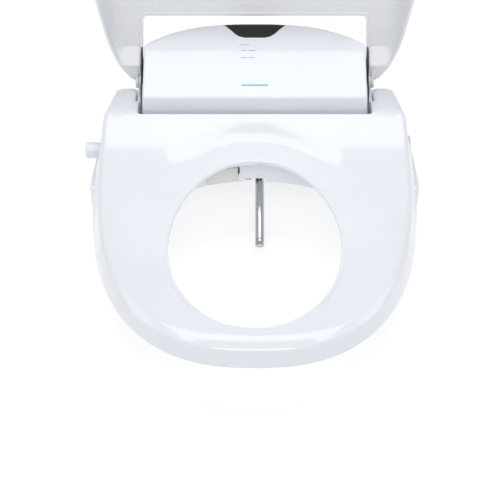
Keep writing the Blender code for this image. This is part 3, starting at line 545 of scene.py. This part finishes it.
def solid(name, loops, top, bottom, depths, step, mat, low_depths=(), low_step=0.0, creases=()):
    """Closed body over a plan area; top(points) and bottom(points) give heights."""
    flat, faces, rim = triangulate(loops, depths, step, creases)
    low, low_faces, low_rim = triangulate(loops, low_depths, low_step)
    n = len(flat)
    verts = [(*p, z) for p, z in zip(flat, top(flat))] + [(*p, z) for p, z in zip(low, bottom(low))]
    all_faces = [tuple(f) for f in faces] + [tuple(n + i for i in reversed(f)) for f in low_faces]
    base = 0
    for loop in loops:
        for i in range(len(loop)):
            a, b = base + i, base + (i + 1) % len(loop)
            all_faces.append((rim[a], n + low_rim[a], n + low_rim[b], rim[b]))
        base += len(loop)
    return add_mesh(name, verts, all_faces, mat, weld=0.02)


def lofted(name, rings, mat):
    """Skin through equal rings, capped at both ends."""
    n = len(rings[0])
    verts = [p for ring in rings for p in ring]
    faces = []
    for k in range(len(rings) - 1):
        a, b = k * n, (k + 1) * n
        faces += [(a + i, a + (i + 1) % n, b + (i + 1) % n, b + i) for i in range(n)]
    faces += [tuple(range(n)), tuple(range(len(verts) - n, len(verts)))]
    return add_mesh(name, verts, faces, mat)


def baked(obj):
    """Apply an object's modifiers."""
    graph = bpy.context.evaluated_depsgraph_get()
    mesh = bpy.data.meshes.new_from_object(obj.evaluated_get(graph))
    obj.modifiers.clear()
    obj.data = mesh


def combined(obj, operation, *others):
    """Boolean with helper bodies, which are then removed."""
    for other in others:
        mod = obj.modifiers.new("shape", 'BOOLEAN')
        mod.operation = operation
        mod.solver = 'EXACT'
        mod.object = other
    baked(obj)
    for other in others:
        bpy.data.objects.remove(other)
    finish_shading(obj)


def softened(node, body, width):
    """Copy of a CAD node with its edges rounded, standing for the node."""
    source = frame["nodes"][node]
    obj = bpy.data.objects.new(node + "_finish", source.data.copy())
    bpy.context.scene.collection.objects.link(obj)
    bm = bmesh.new()
    bm.from_mesh(obj.data)
    bmesh.ops.remove_doubles(bm, verts=bm.verts, dist=1e-6)
    bmesh.ops.dissolve_limit(bm, angle_limit=math.radians(1.0), verts=bm.verts, edges=bm.edges)
    bm.to_mesh(obj.data)
    bm.free()
    mod = obj.modifiers.new("edges", 'BEVEL')
    mod.width = width * MM
    mod.segments = 2
    mod.limit_method = 'ANGLE'
    mod.angle_limit = math.radians(32)
    mod.use_clamp_overlap = True
    baked(obj)
    obj.data.materials.clear()
    obj.data.materials.append(MATERIALS[NODE_SLOT[node]])
    finish_shading(obj, 40)
    settle(obj, body, NODE_SLOT[node], node)


def settle(obj, body, slot, *nodes):
    """Ride a new piece on its body and hide the CAD nodes it stands for."""
    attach(obj, body)
    if nodes:
        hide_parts(*nodes)


def shell(name, loops, top, depths, step, thickness, mat):
    """Thin moulding under a height function, thickened inwards."""
    flat, faces, _ = triangulate(loops, depths, step)
    obj = add_mesh(name, [(*p, z) for p, z in zip(flat, top(flat))], [tuple(f) for f in faces], mat)
    if sum(face.normal.z * face.area for face in obj.data.polygons) < 0:
        obj.data.flip_normals()
    mod = obj.modifiers.new("wall", 'SOLIDIFY')
    mod.thickness = thickness * MM
    mod.offset = -1
    baked(obj)
    finish_shading(obj, 50)
    return obj


def turned(name, profile, place, mat, n=48, wrap=False):
    """Round piece: profile of (along, radius) put in space by place(along, radius, angle)."""
    angles = np.linspace(0, 2 * math.pi, n, endpoint=False)
    rings = [[place(s, r, t) for t in angles] for s, r in profile]
    verts = [p for ring in rings for p in ring]
    last = len(rings) if wrap else len(rings) - 1
    faces = []
    for k in range(last):
        a, b = k * n, (k + 1) % len(rings) * n
        faces += [(a + i, a + (i + 1) % n, b + (i + 1) % n, b + i) for i in range(n)]
    return add_mesh(name, verts, faces, mat, smooth_deg=30, weld=0.03)


def about_x(centre):
    """Placing function for a piece turned about a line along X."""
    return lambda s, r, t: (s, centre[0] + r * math.cos(t), centre[1] + r * math.sin(t))


def round_bar(near, far, radius, centre, mat):
    """Round bar along X, for cutting."""
    profile = [(near, NEAR_AXIS), (near, radius), (far, radius), (far, NEAR_AXIS)]
    return turned("round_bar", profile, about_x(centre), mat)


# ---------------------------------------------------------------- sitting ring

def ring_loops():
    """Outline of the ring, round its wings and the housing's notch, and its opening."""
    right = superellipse(RING_HALF, RING_MID_Y, RING_FRONT_Y, RING_POWER)
    side = [(RING_HALF - 7.5 * ((y - RING_MID_Y) / 100) ** 2.2, y) for y in range(-140, -49, 15)]
    right += curve_through(side + [(184.6, -37), (178.3, -27), (168, -22)])
    right += fillet([(167.9, -22, 0), (WING_LEG_X, -22, 5), (WING_LEG_X, -61.8, 1.2),
                     (RING_NOTCH_X, -62.6, 1.2), (RING_NOTCH_X, NOTCH_Y, 2.5), (0, NOTCH_Y, 0)])[1:]
    half_x, half_y = OPENING_HALF
    t = -np.linspace(0, 2 * math.pi, 260, endpoint=False)
    c, s = np.cos(t), np.sin(t)
    power = 2 / OPENING_POWER
    opening = np.column_stack((-half_x * np.sign(s) * np.abs(s) ** power,
                               OPENING_MID_Y + half_y * np.sign(c) * np.abs(c) ** power))
    return [mirrored(right), opening]


def ring_rim(points):
    """Lower rim of the ring: low in front, lifted over the base."""
    low, high = RING_BOTTOM_Z
    return low + (high - low) * eased(points[:, 1], RING_LIFT_Y)


def ring_surfaces(loops):
    """Height functions of the ring's top, with its dish and shoulder, and of its underside."""
    def notch_test(x, y):
        return (np.abs(x) < WING_LEG_X + 0.1) & (y > NOTCH_Y - 1)

    notch = edges_where(loops[0], notch_test)
    outer = edges_where(loops[0], lambda x, y: ~notch_test(x, y))
    inner = segments(loops[1])

    def level(points):
        """Top before its edges are rounded."""
        x, y = points[:, 0], points[:, 1]
        rise = np.maximum(0, (y - RAMP_START_Y) / (NOTCH_Y - RAMP_START_Y))
        ramp = RING_FRONT_Z + (RAMP_TOP_Z - RING_FRONT_Z) * rise ** 2
        z = smaller(ramp, RAMP_TOP_Z - WING_FALL * (y - NOTCH_Y), 3.0)
        to_opening = distance(points, inner)
        hollow = ease(to_opening / DISH_REACH[0]) * (1 - eased(to_opening, DISH_REACH))
        zone = eased(y, DISH_Y) * (1 - eased(np.abs(x), DISH_X))
        fall, reach = FRONT_TILT
        tilt = fall * np.minimum(to_opening / reach, 1) * eased(y, TILT_Y)
        return z - DISH_DEPTH * hollow * zone - tilt

    def underside(points):
        """Thin at the opening, then down to the rim."""
        rim = ring_rim(points)
        return rim + (level(points) - LIP_DEPTH - rim) * (1 - ease(distance(points, inner) / LIP_REACH))

    def top(points):
        """Top with a crisp shoulder in front, softer edges at the sides and sharp tails."""
        z = level(points)
        height = z - underside(points)
        to_outer = distance(points, outer)
        fall, reach = SHOULDER
        front = eased(points[:, 1], SHOULDER_Y)
        tail = eased(points[:, 1], TAIL_Y)
        shoulder = fall * np.clip(1 - to_outer / reach, 0, 1) ** 1.4
        crisp = shoulder + rounded_drop(to_outer, 1.8, height - fall, 3.2)
        soft = rounded_drop(to_outer, 6.0 - 4.2 * tail, height, 8.0 - 3.0 * tail)
        drops = [front * crisp + (1 - front) * soft,
                 rounded_drop(distance(points, notch), 0.7, height, 2.2),
                 rounded_drop(distance(points, inner), 0.4, height, 1.8)]
        return z - joined(drops, height)

    return top, underside


def make_ring():
    """Mouldings of the ring with its ramp, wings, shallow dish and thin lip, and the foil between them."""
    loops = ring_loops()
    top, underside = ring_surfaces(loops)
    cover = shell("ring_top_moulding", loops, top, ROWS, 7.0, SHELL_WALL, MATERIALS["gloss_white"])
    settle(cover, "ring", "gloss_white", "seat_upper_shell")
    plate_loops = [inset(loop, d) for loop, d in zip(loops, PLATE_INSET)]
    rows = np.arange(2.5, 26, 3.0)
    plate = solid("ring_underside_plate", plate_loops, lambda p: underside(p) + 1.9,
                  lambda p: underside(p) + 0.1, rows, 14.0, MATERIALS["gloss_white"], rows, 14.0)
    settle(plate, "ring", "gloss_white", "seat_lower_shell")
    foil_outer, foil_inner = (inset(loop, d) for loop, d in zip(loops, FOIL_INSET))
    foil_loops = [np.array(divided(clipped(foil_outer, FOIL_REAR_Y), 4.0)), foil_inner]
    high, low = FOIL_DEPTH
    foil = solid("ring_heater_foil", foil_loops, lambda p: top(p) - high, lambda p: top(p) - low, rows, 8.0,
                 MATERIALS["heater_foil"], rows, 8.0)
    settle(foil, "ring", "heater_foil", "seat_heater_foil")


# ---------------------------------------------------------------- lid

def lid_loop():
    """Outline of the closed lid with its notch."""
    right = superellipse(LID_HALF, RING_MID_Y, LID_FRONT_Y, RING_POWER)
    right += curve_through(LID_REAR_SIDE)
    corner, ear = LID_NOTCH_X
    right += fillet([(157.9, -18.9, 0), (150.6, -8.0, 1), (ear, -8.0, 0.5), (corner, NOTCH_Y, 5),
                     (0, NOTCH_Y, 0)])[1:]
    return mirrored(right)


def lid_top(points):
    """Outside of the closed lid."""
    y = points[:, 1]
    low, high = LID_Z
    along = np.clip((y - LID_FRONT_Y) / (NOTCH_Y - LID_FRONT_Y), 0, 1)
    return np.where(y > NOTCH_Y, high - 18 * ((y - NOTCH_Y) / 80) ** 2, low + (high - low) * along ** 1.8)


def lid_edge(points):
    """Lower edge of the skirt, shallow along the notch."""
    x, y = points[:, 0], points[:, 1]
    lip = (np.abs(x) < LID_NOTCH_X[1] + 2) & (y > NOTCH_Y - 5) & (y < LEDGE_END[0] - 6)
    keys, heights = zip(*LID_EDGE)
    return np.where(lip, lid_top(points) - LID_LIP, np.interp(y, keys, heights))


def lid_roof(points):
    """Inside face of the lid: a recessed panel, then a ledge that slopes to the ears."""
    ahead = points.copy()
    ahead[:, 1] = np.minimum(points[:, 1], PANEL_START_Y)
    roof = lid_top(ahead) - LID_WALL - 1.0
    t = np.clip((points[:, 1] - PANEL_START_Y) / (LEDGE_END[0] - PANEL_START_Y), 0, 1)
    return roof + (LEDGE_END[1] - roof) * t


def beside_notch(x, y):
    """Whether a point of the lid's outline is on the notch."""
    return (np.abs(x) < LID_NOTCH_X[1] + 0.2) & (y > NOTCH_Y - 1)


def lid_shell(loop):
    """Closed lid before it is hollowed."""
    notch = edges_where(loop, beside_notch)
    outer = edges_where(loop, lambda x, y: ~beside_notch(x, y))

    def outside(points):
        z = lid_top(points)
        height = z - lid_edge(points)
        drops = [rounded_drop(distance(points, outer), 1.6, height, np.minimum(8.0, 0.6 * height)),
                 rounded_drop(distance(points, notch), 0.7, height, 2.0)]
        return z - joined(drops, height)

    return solid("lid_moulding", [loop], outside, lid_edge, ROWS[:11], 9.0, MATERIALS["lid_white"],
                 [4.0], 20.0)


def lid_hollow(loop):
    """Body that hollows the lid: recessed panel, sloped rim, and a ledge that starts at a crease."""
    room = np.array(divided(clipped(inset(loop, LID_WALL), LEDGE_END[0]), 4.0))

    def on_wall(x, y):
        return y < LEDGE_END[0] - 0.01

    def on_notch_wall(x, y):
        return beside_notch(np.abs(x) - LID_WALL - 1.5, y + LID_WALL)

    wall_outer = edges_where(room, lambda x, y: on_wall(x, y) & ~on_notch_wall(x, y))
    wall_notch = edges_where(room, lambda x, y: on_wall(x, y) & on_notch_wall(x, y))

    def face(points):
        z = lid_roof(points)
        height = np.maximum(z - lid_edge(points) + 1.0, 1.0)
        to_outer = distance(points, wall_outer)
        drops = [rounded_drop(to_outer, 0.8, height, 1.0),
                 0.45 * height * np.clip(1 - to_outer / LID_RIM, 0, 1) ** 1.4,
                 rounded_drop(distance(points, wall_notch), 0.7, height, 1.5)]
        return z - joined(drops, height)

    creases = [np.array([(s * x, PANEL_START_Y) for x in np.linspace(147.5, 177.5, 21)]) for s in (-1, 1)]
    return solid("hollow", [room], face, level_at(20.0), ROWS, 9.0, MATERIALS["lid_white"], creases=creases)


def add_lid_ear(body, s):
    """Knuckle with its web, cleared on the housing's side and bored for the pin."""
    mat = MATERIALS["lid_white"]
    near, far = (s * x for x in LID_EAR_X)
    web = lofted("web", [[(x, y, z) for y, z in EAR_WEB] for x in (near, far)], mat)
    bevel = s * 0.5
    profile = [(near, NEAR_AXIS), (near, EAR_R - 0.5), (near + bevel, EAR_R),
               (far - bevel, EAR_R), (far, EAR_R - 0.5), (far, NEAR_AXIS)]
    knuckle = turned("knuckle", profile, about_x(HINGE), mat)
    combined(body, 'DIFFERENCE', round_bar(s * LID_GAP_X, near - s * 0.01, EAR_R + 1.2, HINGE, mat))
    combined(body, 'UNION', web, knuckle)
    combined(body, 'DIFFERENCE', round_bar(s * 140, s * 160, PIN_HOLE_R, HINGE, mat))


def make_lid():
    """Lid with its hinge ears, made closed and turned open."""
    loop = lid_loop()
    body = lid_shell(loop)
    combined(body, 'DIFFERENCE', lid_hollow(loop))
    for s in (-1, 1):
        add_lid_ear(body, s)
    pivot = Vector((0, HINGE[0], HINGE[1])) * MM
    turn = Matrix.Rotation(-math.radians(LID_OPEN_DEG), 4, 'X')
    body.data.transform(Matrix.Translation(pivot) @ turn @ Matrix.Translation(-pivot))
    finish_shading(body, 28)
    settle(body, "lid", "lid_white", "lid_shell")


# ---------------------------------------------------------------- housing

def housing_loop():
    """Outline of the housing cover on the base."""
    half, front, rear = HOUSING_HALF, HOUSING_FRONT_Y, HOUSING_REAR_Y
    right = fillet([(0, front, 0), (half, front, 5), (half, 0, 0)])
    rear_corner = [(half, 2), (half - 2, 14), (half - 9, 28), (half - 24, 41), (half - 46, rear - 1.5)]
    right += curve_through(rear_corner)
    right += [(60, rear), (0, rear)]
    return mirrored(right)


def housing_height(points):
    """Top of the housing before its edges are rounded."""
    x, y = points[:, 0], points[:, 1]
    (edge_y, edge_z), (crease_y, crease_z) = HOUSING_EDGE, HOUSING_CREASE
    slope = edge_z + (y - edge_y) * (crease_z - edge_z) / (crease_y - edge_y)
    ridge = RIDGE_Y - RIDGE_SWEEP * np.abs(x / HOUSING_HALF) ** 3
    reach = RIDGE_R * math.sin(math.atan(REAR_FALL))
    on_round = np.clip(y - ridge, 0, reach)
    crown = crease_z - RIDGE_R + np.sqrt(RIDGE_R ** 2 - on_round ** 2)
    behind = REAR_FALL * np.maximum(y - ridge - reach, 0)
    return smaller(slope, crown - behind, 4.0)


def cover_height(points, edges):
    """Top of the housing with its walls and rounded edges."""
    z = housing_height(points)
    height = z - HOUSING_BOTTOM_Z
    return z - np.minimum(rounded_drop(distance(points, edges), 1.8, height, 3.0), height)


def laid_on(name, outline, edges, rise, thickness, mat):
    """Thin plate that follows the housing cover."""
    loop = np.array(divided(outline, 1.5))
    return shell(name, [loop], lambda p: cover_height(p, edges) + rise, [], 2.0, thickness, mat)


def make_housing():
    """Cover, dark window, print dashes and accent line."""
    loop = housing_loop()
    edges = segments(loop)
    cover = shell("housing_moulding", [loop], lambda p: cover_height(p, edges), ROWS[:10], 5.0, SHELL_WALL,
                  MATERIALS["gloss_white"])
    for s in (-1, 1):
        bore = round_bar(s * 120, s * 145, PIN_HOLE_R, HINGE, MATERIALS["gloss_white"])
        combined(cover, 'DIFFERENCE', bore)
    finish_shading(cover, 50)
    settle(cover, "base", "gloss_white", "housing_cover")
    pane = laid_on("receiver_window", both_sides(WINDOW_SIDE), edges, 0.25, 1.2, MATERIALS["smoked_window"])
    settle(pane, "base", "smoked_window", "ir_window")
    dashes = [(x0, x1, y) for y, row in DASH_ROWS.items() for x0, x1 in row]
    for i, (x0, x1, y) in enumerate(dashes, 1):
        low, high = y - DASH_WIDTH / 2, y + DASH_WIDTH / 2
        outline = [(x0, low), (x1, low), (x1, high), (x0, high)]
        settle(laid_on(f"print_dash_{i}", outline, edges, 0.08, 0.3, PRINT_GREY), "base", "inner_grey")
    low, high = ACCENT_Y
    line = fillet([(0, low, 0), (ACCENT_HALF, low, 0.9), (ACCENT_HALF, high, 0.9), (0, high, 0)])
    settle(laid_on("accent_line", both_sides(line), edges, 0.08, 0.3, ACCENT_BLUE), "base", "gloss_white")


# ---------------------------------------------------------------- base

def base_loop():
    """Outline of the base: curved bay wall, two arms, rounded rear corners."""
    centre_y = BAY_MID_Y - BAY_ARC_R
    right = [(x, centre_y + math.sqrt(BAY_ARC_R ** 2 - x * x)) for x in np.linspace(0, BAY_ARC_X, 30)]
    right += curve_through([(118, -172.4), (124, -175.5), (138, -180.3), (150, ARM_FRONT_Y)])
    right += fillet([(151, ARM_FRONT_Y, 0), (199.6, ARM_FRONT_Y, 3.5), (199.3, -160, 0)])
    right += curve_through(BASE_SIDE + [(143, 43.5), (122, 49.3), (100, BASE_REAR_Y)])
    return mirrored(right + [(0, BASE_REAR_Y)])


def make_deck():
    """Flat deck over the base, with rounded edges and the way for the nozzle racks."""
    outline = base_loop()
    edges = segments(outline)
    low, high = DECK_Z

    def top(points):
        return high - np.minimum(rounded_drop(distance(points, edges), 0.3, high - low, 2.2), high - low)

    hole = inset(housing_loop(), 4.6)[::-1]
    deck = solid("deck_panel", [outline, hole], top, level_at(low), [0.5, 1.0, 1.7, 2.6], 30.0,
                 MATERIALS["gloss_white"])
    (x0, x1), (y0, y1) = RACK_WAY_X, RACK_WAY_Y
    way = [[(x0, y0, z), (x1, y0, z), (x1, y1, z), (x0, y1, z)] for z in (25, 36)]
    combined(deck, 'DIFFERENCE', lofted("rack_way", way, MATERIALS["gloss_white"]))
    finish_shading(deck, 40)
    settle(deck, "base", "gloss_white", "base_deck")


def make_gap_shade_strips():
    """Dark strips of painted shade beside the housing's sides, standing in for the shadow in the gap between
    them and the lid's legs.
    """
    spans = {"front": (140.2, 141.0, [(-80, 86), (-80, 101), (-46, 117.5), (-46, 100)]),
             "rear": (140.2, 142.1, [(-45.9, 92), (-45.9, 118.5), (-25, 129.5), (-16, 128), (-16, 92)])}
    for side, s in (("left", -1), ("right", 1)):
        for part, (near, far, corners) in spans.items():
            rings = [[(s * x, y, z) for y, z in corners] for x in (near, far)]
            # painted shade: each dark strip stands in for the shadow inside the gap beside the housing
            strip = lofted(f"painted_gap_shade_{part}_{side}", rings, MATERIALS["dark_plastic"])
            settle(strip, "base", "dark_plastic")


def make_flap_stop():
    """Small dark stop at the upper right corner of the dryer flap."""
    corners = [(-19.9, -132.9), (-18.7, -132.6), (-19.1, -130.9), (-20.2, -131.2)]
    rings = [[(x, y, z) for x, y in corners] for z in (17.5, 26.6)]
    stop = lofted("flap_stop", rings, MATERIALS["dark_plastic"])
    settle(stop, "base", "dark_plastic")


# ---------------------------------------------------------------- nozzles, inlet, button

def nozzle_point(x, along, across, above):
    """Point by its distances along, across and above a nozzle's middle line."""
    start_y, start_z = NOZZLE_START
    c, k = math.cos(NOZZLE_PITCH), math.sin(NOZZLE_PITCH)
    return (x + across, start_y - c * along - k * above, start_z - k * along + c * above)


def make_nozzle(name, x, tip):
    """Steel sleeve with a rounded nose, a fine groove and its spray hole."""
    def place(along, r, t):
        return nozzle_point(x, along, r * math.sin(t), r * math.cos(t))

    rear, groove, inner = tip - NOZZLE_LENGTH, tip - 17, NOZZLE_R - NOZZLE_WALL
    nose = [(tip - NOSE_R + NOSE_R * math.sin(a), NOZZLE_R - NOSE_R + NOSE_R * math.cos(a))
            for a in np.linspace(0, math.pi / 2, 7)]
    profile = [(rear, inner), (rear, NOZZLE_R - 0.1), (rear + 0.3, NOZZLE_R), (groove, NOZZLE_R),
               (groove + 0.2, NOZZLE_R - 0.25), (groove + 0.6, NOZZLE_R - 0.25), (groove + 0.8, NOZZLE_R)]
    profile += nose + [(tip, NEAR_AXIS), (tip - 1.3, NEAR_AXIS), (tip - 1.3, inner)]
    sleeve = turned(f"{name}_nozzle_sleeve", profile, place, MATERIALS["stainless"], 64, wrap=True)
    turn = np.linspace(0, 2 * math.pi, 24, endpoint=False)
    spray = tip - SPRAY_BACK
    rings = [[nozzle_point(x, spray + SPRAY_R * math.sin(a), SPRAY_R * math.cos(a), above) for a in turn]
             for above in (3.5, 8.0)]
    combined(sleeve, 'DIFFERENCE', lofted("spray", rings, MATERIALS["stainless"]))
    finish_shading(sleeve, 30)
    settle(sleeve, f"{name}_nozzle", "stainless", f"{name}_nozzle_tube")


def make_inlet():
    """Water stub with a chamfered, grooved end and an open bore."""
    bore = INLET_BORE_R
    profile = [(-187.2, bore), (-187.2, 10.4), (-190.5, 10.4), (-190.8, 10.1), (-200.0, 10.1), (-200.3, 10.4),
               (-211.6, 10.4), (-213.0, 9.2), (-213.0, 7.4), (-212.2, bore)]
    stub = turned("water_stub", profile, about_x(INLET_AXIS), MATERIALS["gloss_white"], 56, wrap=True)
    settle(stub, "base", "gloss_white", "water_inlet")


def make_button():
    """Domed release button and the tinted ring round it."""
    place = about_x(BUTTON_AXIS)
    dome = [(197.0 + 1.4 * math.sin(a), 6.8 * math.cos(a) + 0.8 * math.cos(a) ** 4)
            for a in np.linspace(0, 1.5, 9)]
    profile = [(188, NEAR_AXIS), (188, 8.0), (188.5, 8.5), (196.2, 8.5), (196.9, 8.1)] + dome
    profile.append((198.4, NEAR_AXIS))
    button = turned("release_cap", profile, place, MATERIALS["gloss_white"], 56)
    settle(button, "button", "gloss_white", "release_button")
    rim = [(194.4, 8.75), (194.4, 9.6), (195.0, 9.9), (195.6, 9.6), (195.6, 8.75)]
    ring = turned("release_ring", rim, place, BUTTON_PINK, 56, wrap=True)
    settle(ring, "base", "gloss_white")


# ---------------------------------------------------------------- pieces carried over from the CAD

PLAIN_EDGE = 0.5
EDGE_WIDTH = {"base_tray": 0.9, "dryer_flap": 0.4, "mounting_plate": 0.6,
              "base_pad_left": 1.2, "base_pad_right": 1.2, "seat_bumper_1": 1.6, "seat_bumper_2": 1.6,
              "lid_bumper_1": 1.6, "lid_bumper_2": 1.6}
SOFTENED = list(EDGE_WIDTH) + ["seat_hinge_ear_left", "seat_hinge_ear_right", "power_gland", "bolt_left",
                               "bolt_right", "rubber_washer_left", "rubber_washer_right", "wing_nut_left",
                               "wing_nut_right", "nozzle_cradle", "blower_housing", "water_heater",
                               "solenoid_valve"]


def carry_over():
    """Give each CAD node its material, and round the edges of those that can be seen."""
    body_of = {node: body for body, nodes in frame["record"]["behaviour"]["bodies"].items() for node in nodes}
    for node in SOFTENED:
        softened(node, body_of[node], EDGE_WIDTH.get(node, PLAIN_EDGE))
    for node, obj in frame["nodes"].items():
        obj.data.materials.clear()
        obj.data.materials.append(MATERIALS[NODE_SLOT[node]])


# ---------------------------------------------------------------- stage

def make_stage():
    """Pale floor, white surroundings, soft lights and the camera."""
    floor_z = CAD_BOX[0][2] - 0.002
    floor = bpy.data.meshes.new("floor")
    size = 6.0
    corners = [(x, y, floor_z) for x, y in ((-size, -size), (size, -size), (size, size), (-size, size))]
    floor.from_pydata(corners, [], [(0, 1, 2, 3)])
    floor_obj = bpy.data.objects.new("floor", floor)
    bpy.context.scene.collection.objects.link(floor_obj)
    mat, _, shader = principled("floor_white", (0.42, 0.42, 0.42), 0.9)
    shader.inputs["Emission Color"].default_value = (1.0, 1.0, 1.0, 1.0)
    shader.inputs["Emission Strength"].default_value = 0.64
    floor.materials.append(mat)

    world = bpy.data.worlds.new("studio")
    bpy.context.scene.world = world
    world.use_nodes = True
    world.node_tree.nodes["Background"].inputs["Color"].default_value = (1.0, 1.0, 1.0, 1.0)
    world.node_tree.nodes["Background"].inputs["Strength"].default_value = 0.46

    def area(name, place, aim, size, power):
        light = bpy.data.lights.new(name, 'AREA')
        light.shape = 'RECTANGLE'
        light.size, light.size_y = size
        light.energy = power
        obj = bpy.data.objects.new(name, light)
        obj.location = place
        obj.rotation_euler = (Vector(aim) - Vector(place)).to_track_quat('-Z', 'Y').to_euler()
        bpy.context.scene.collection.objects.link(obj)

    area("top_light", (0, -0.05, 2.6), (0, -0.15, 0), (2.6, 1.4), 26)
    area("front_light", (0, -2.2, 2.3), (0, -0.15, 0.05), (1.8, 0.9), 22)
    area("left_light", (-2.2, 0.1, 1.5), (0, -0.2, 0.1), (1.2, 1.6), 6)
    area("right_light", (2.2, 0.1, 1.5), (0, -0.2, 0.1), (1.2, 1.6), 6)

    camera = bpy.data.cameras.new("camera")
    camera.sensor_width = 36.0
    camera.lens = CAMERA_LENS
    camera.shift_x = CAMERA_SHIFT_X
    obj = bpy.data.objects.new("camera", camera)
    obj.location = CAMERA_PLACE
    obj.rotation_euler = (math.radians(90 - CAMERA_PITCH_DEG), 0, 0)
    bpy.context.scene.collection.objects.link(obj)
    bpy.context.scene.camera = obj
    bpy.context.scene.view_settings.view_transform = 'Standard'


make_ring()
make_lid()
make_housing()
make_deck()
make_gap_shade_strips()
make_flap_stop()
make_nozzle("main", 6.0, 85.0)
make_nozzle("front", -8.0, -5.0)
make_inlet()
make_button()
carry_over()
make_stage()
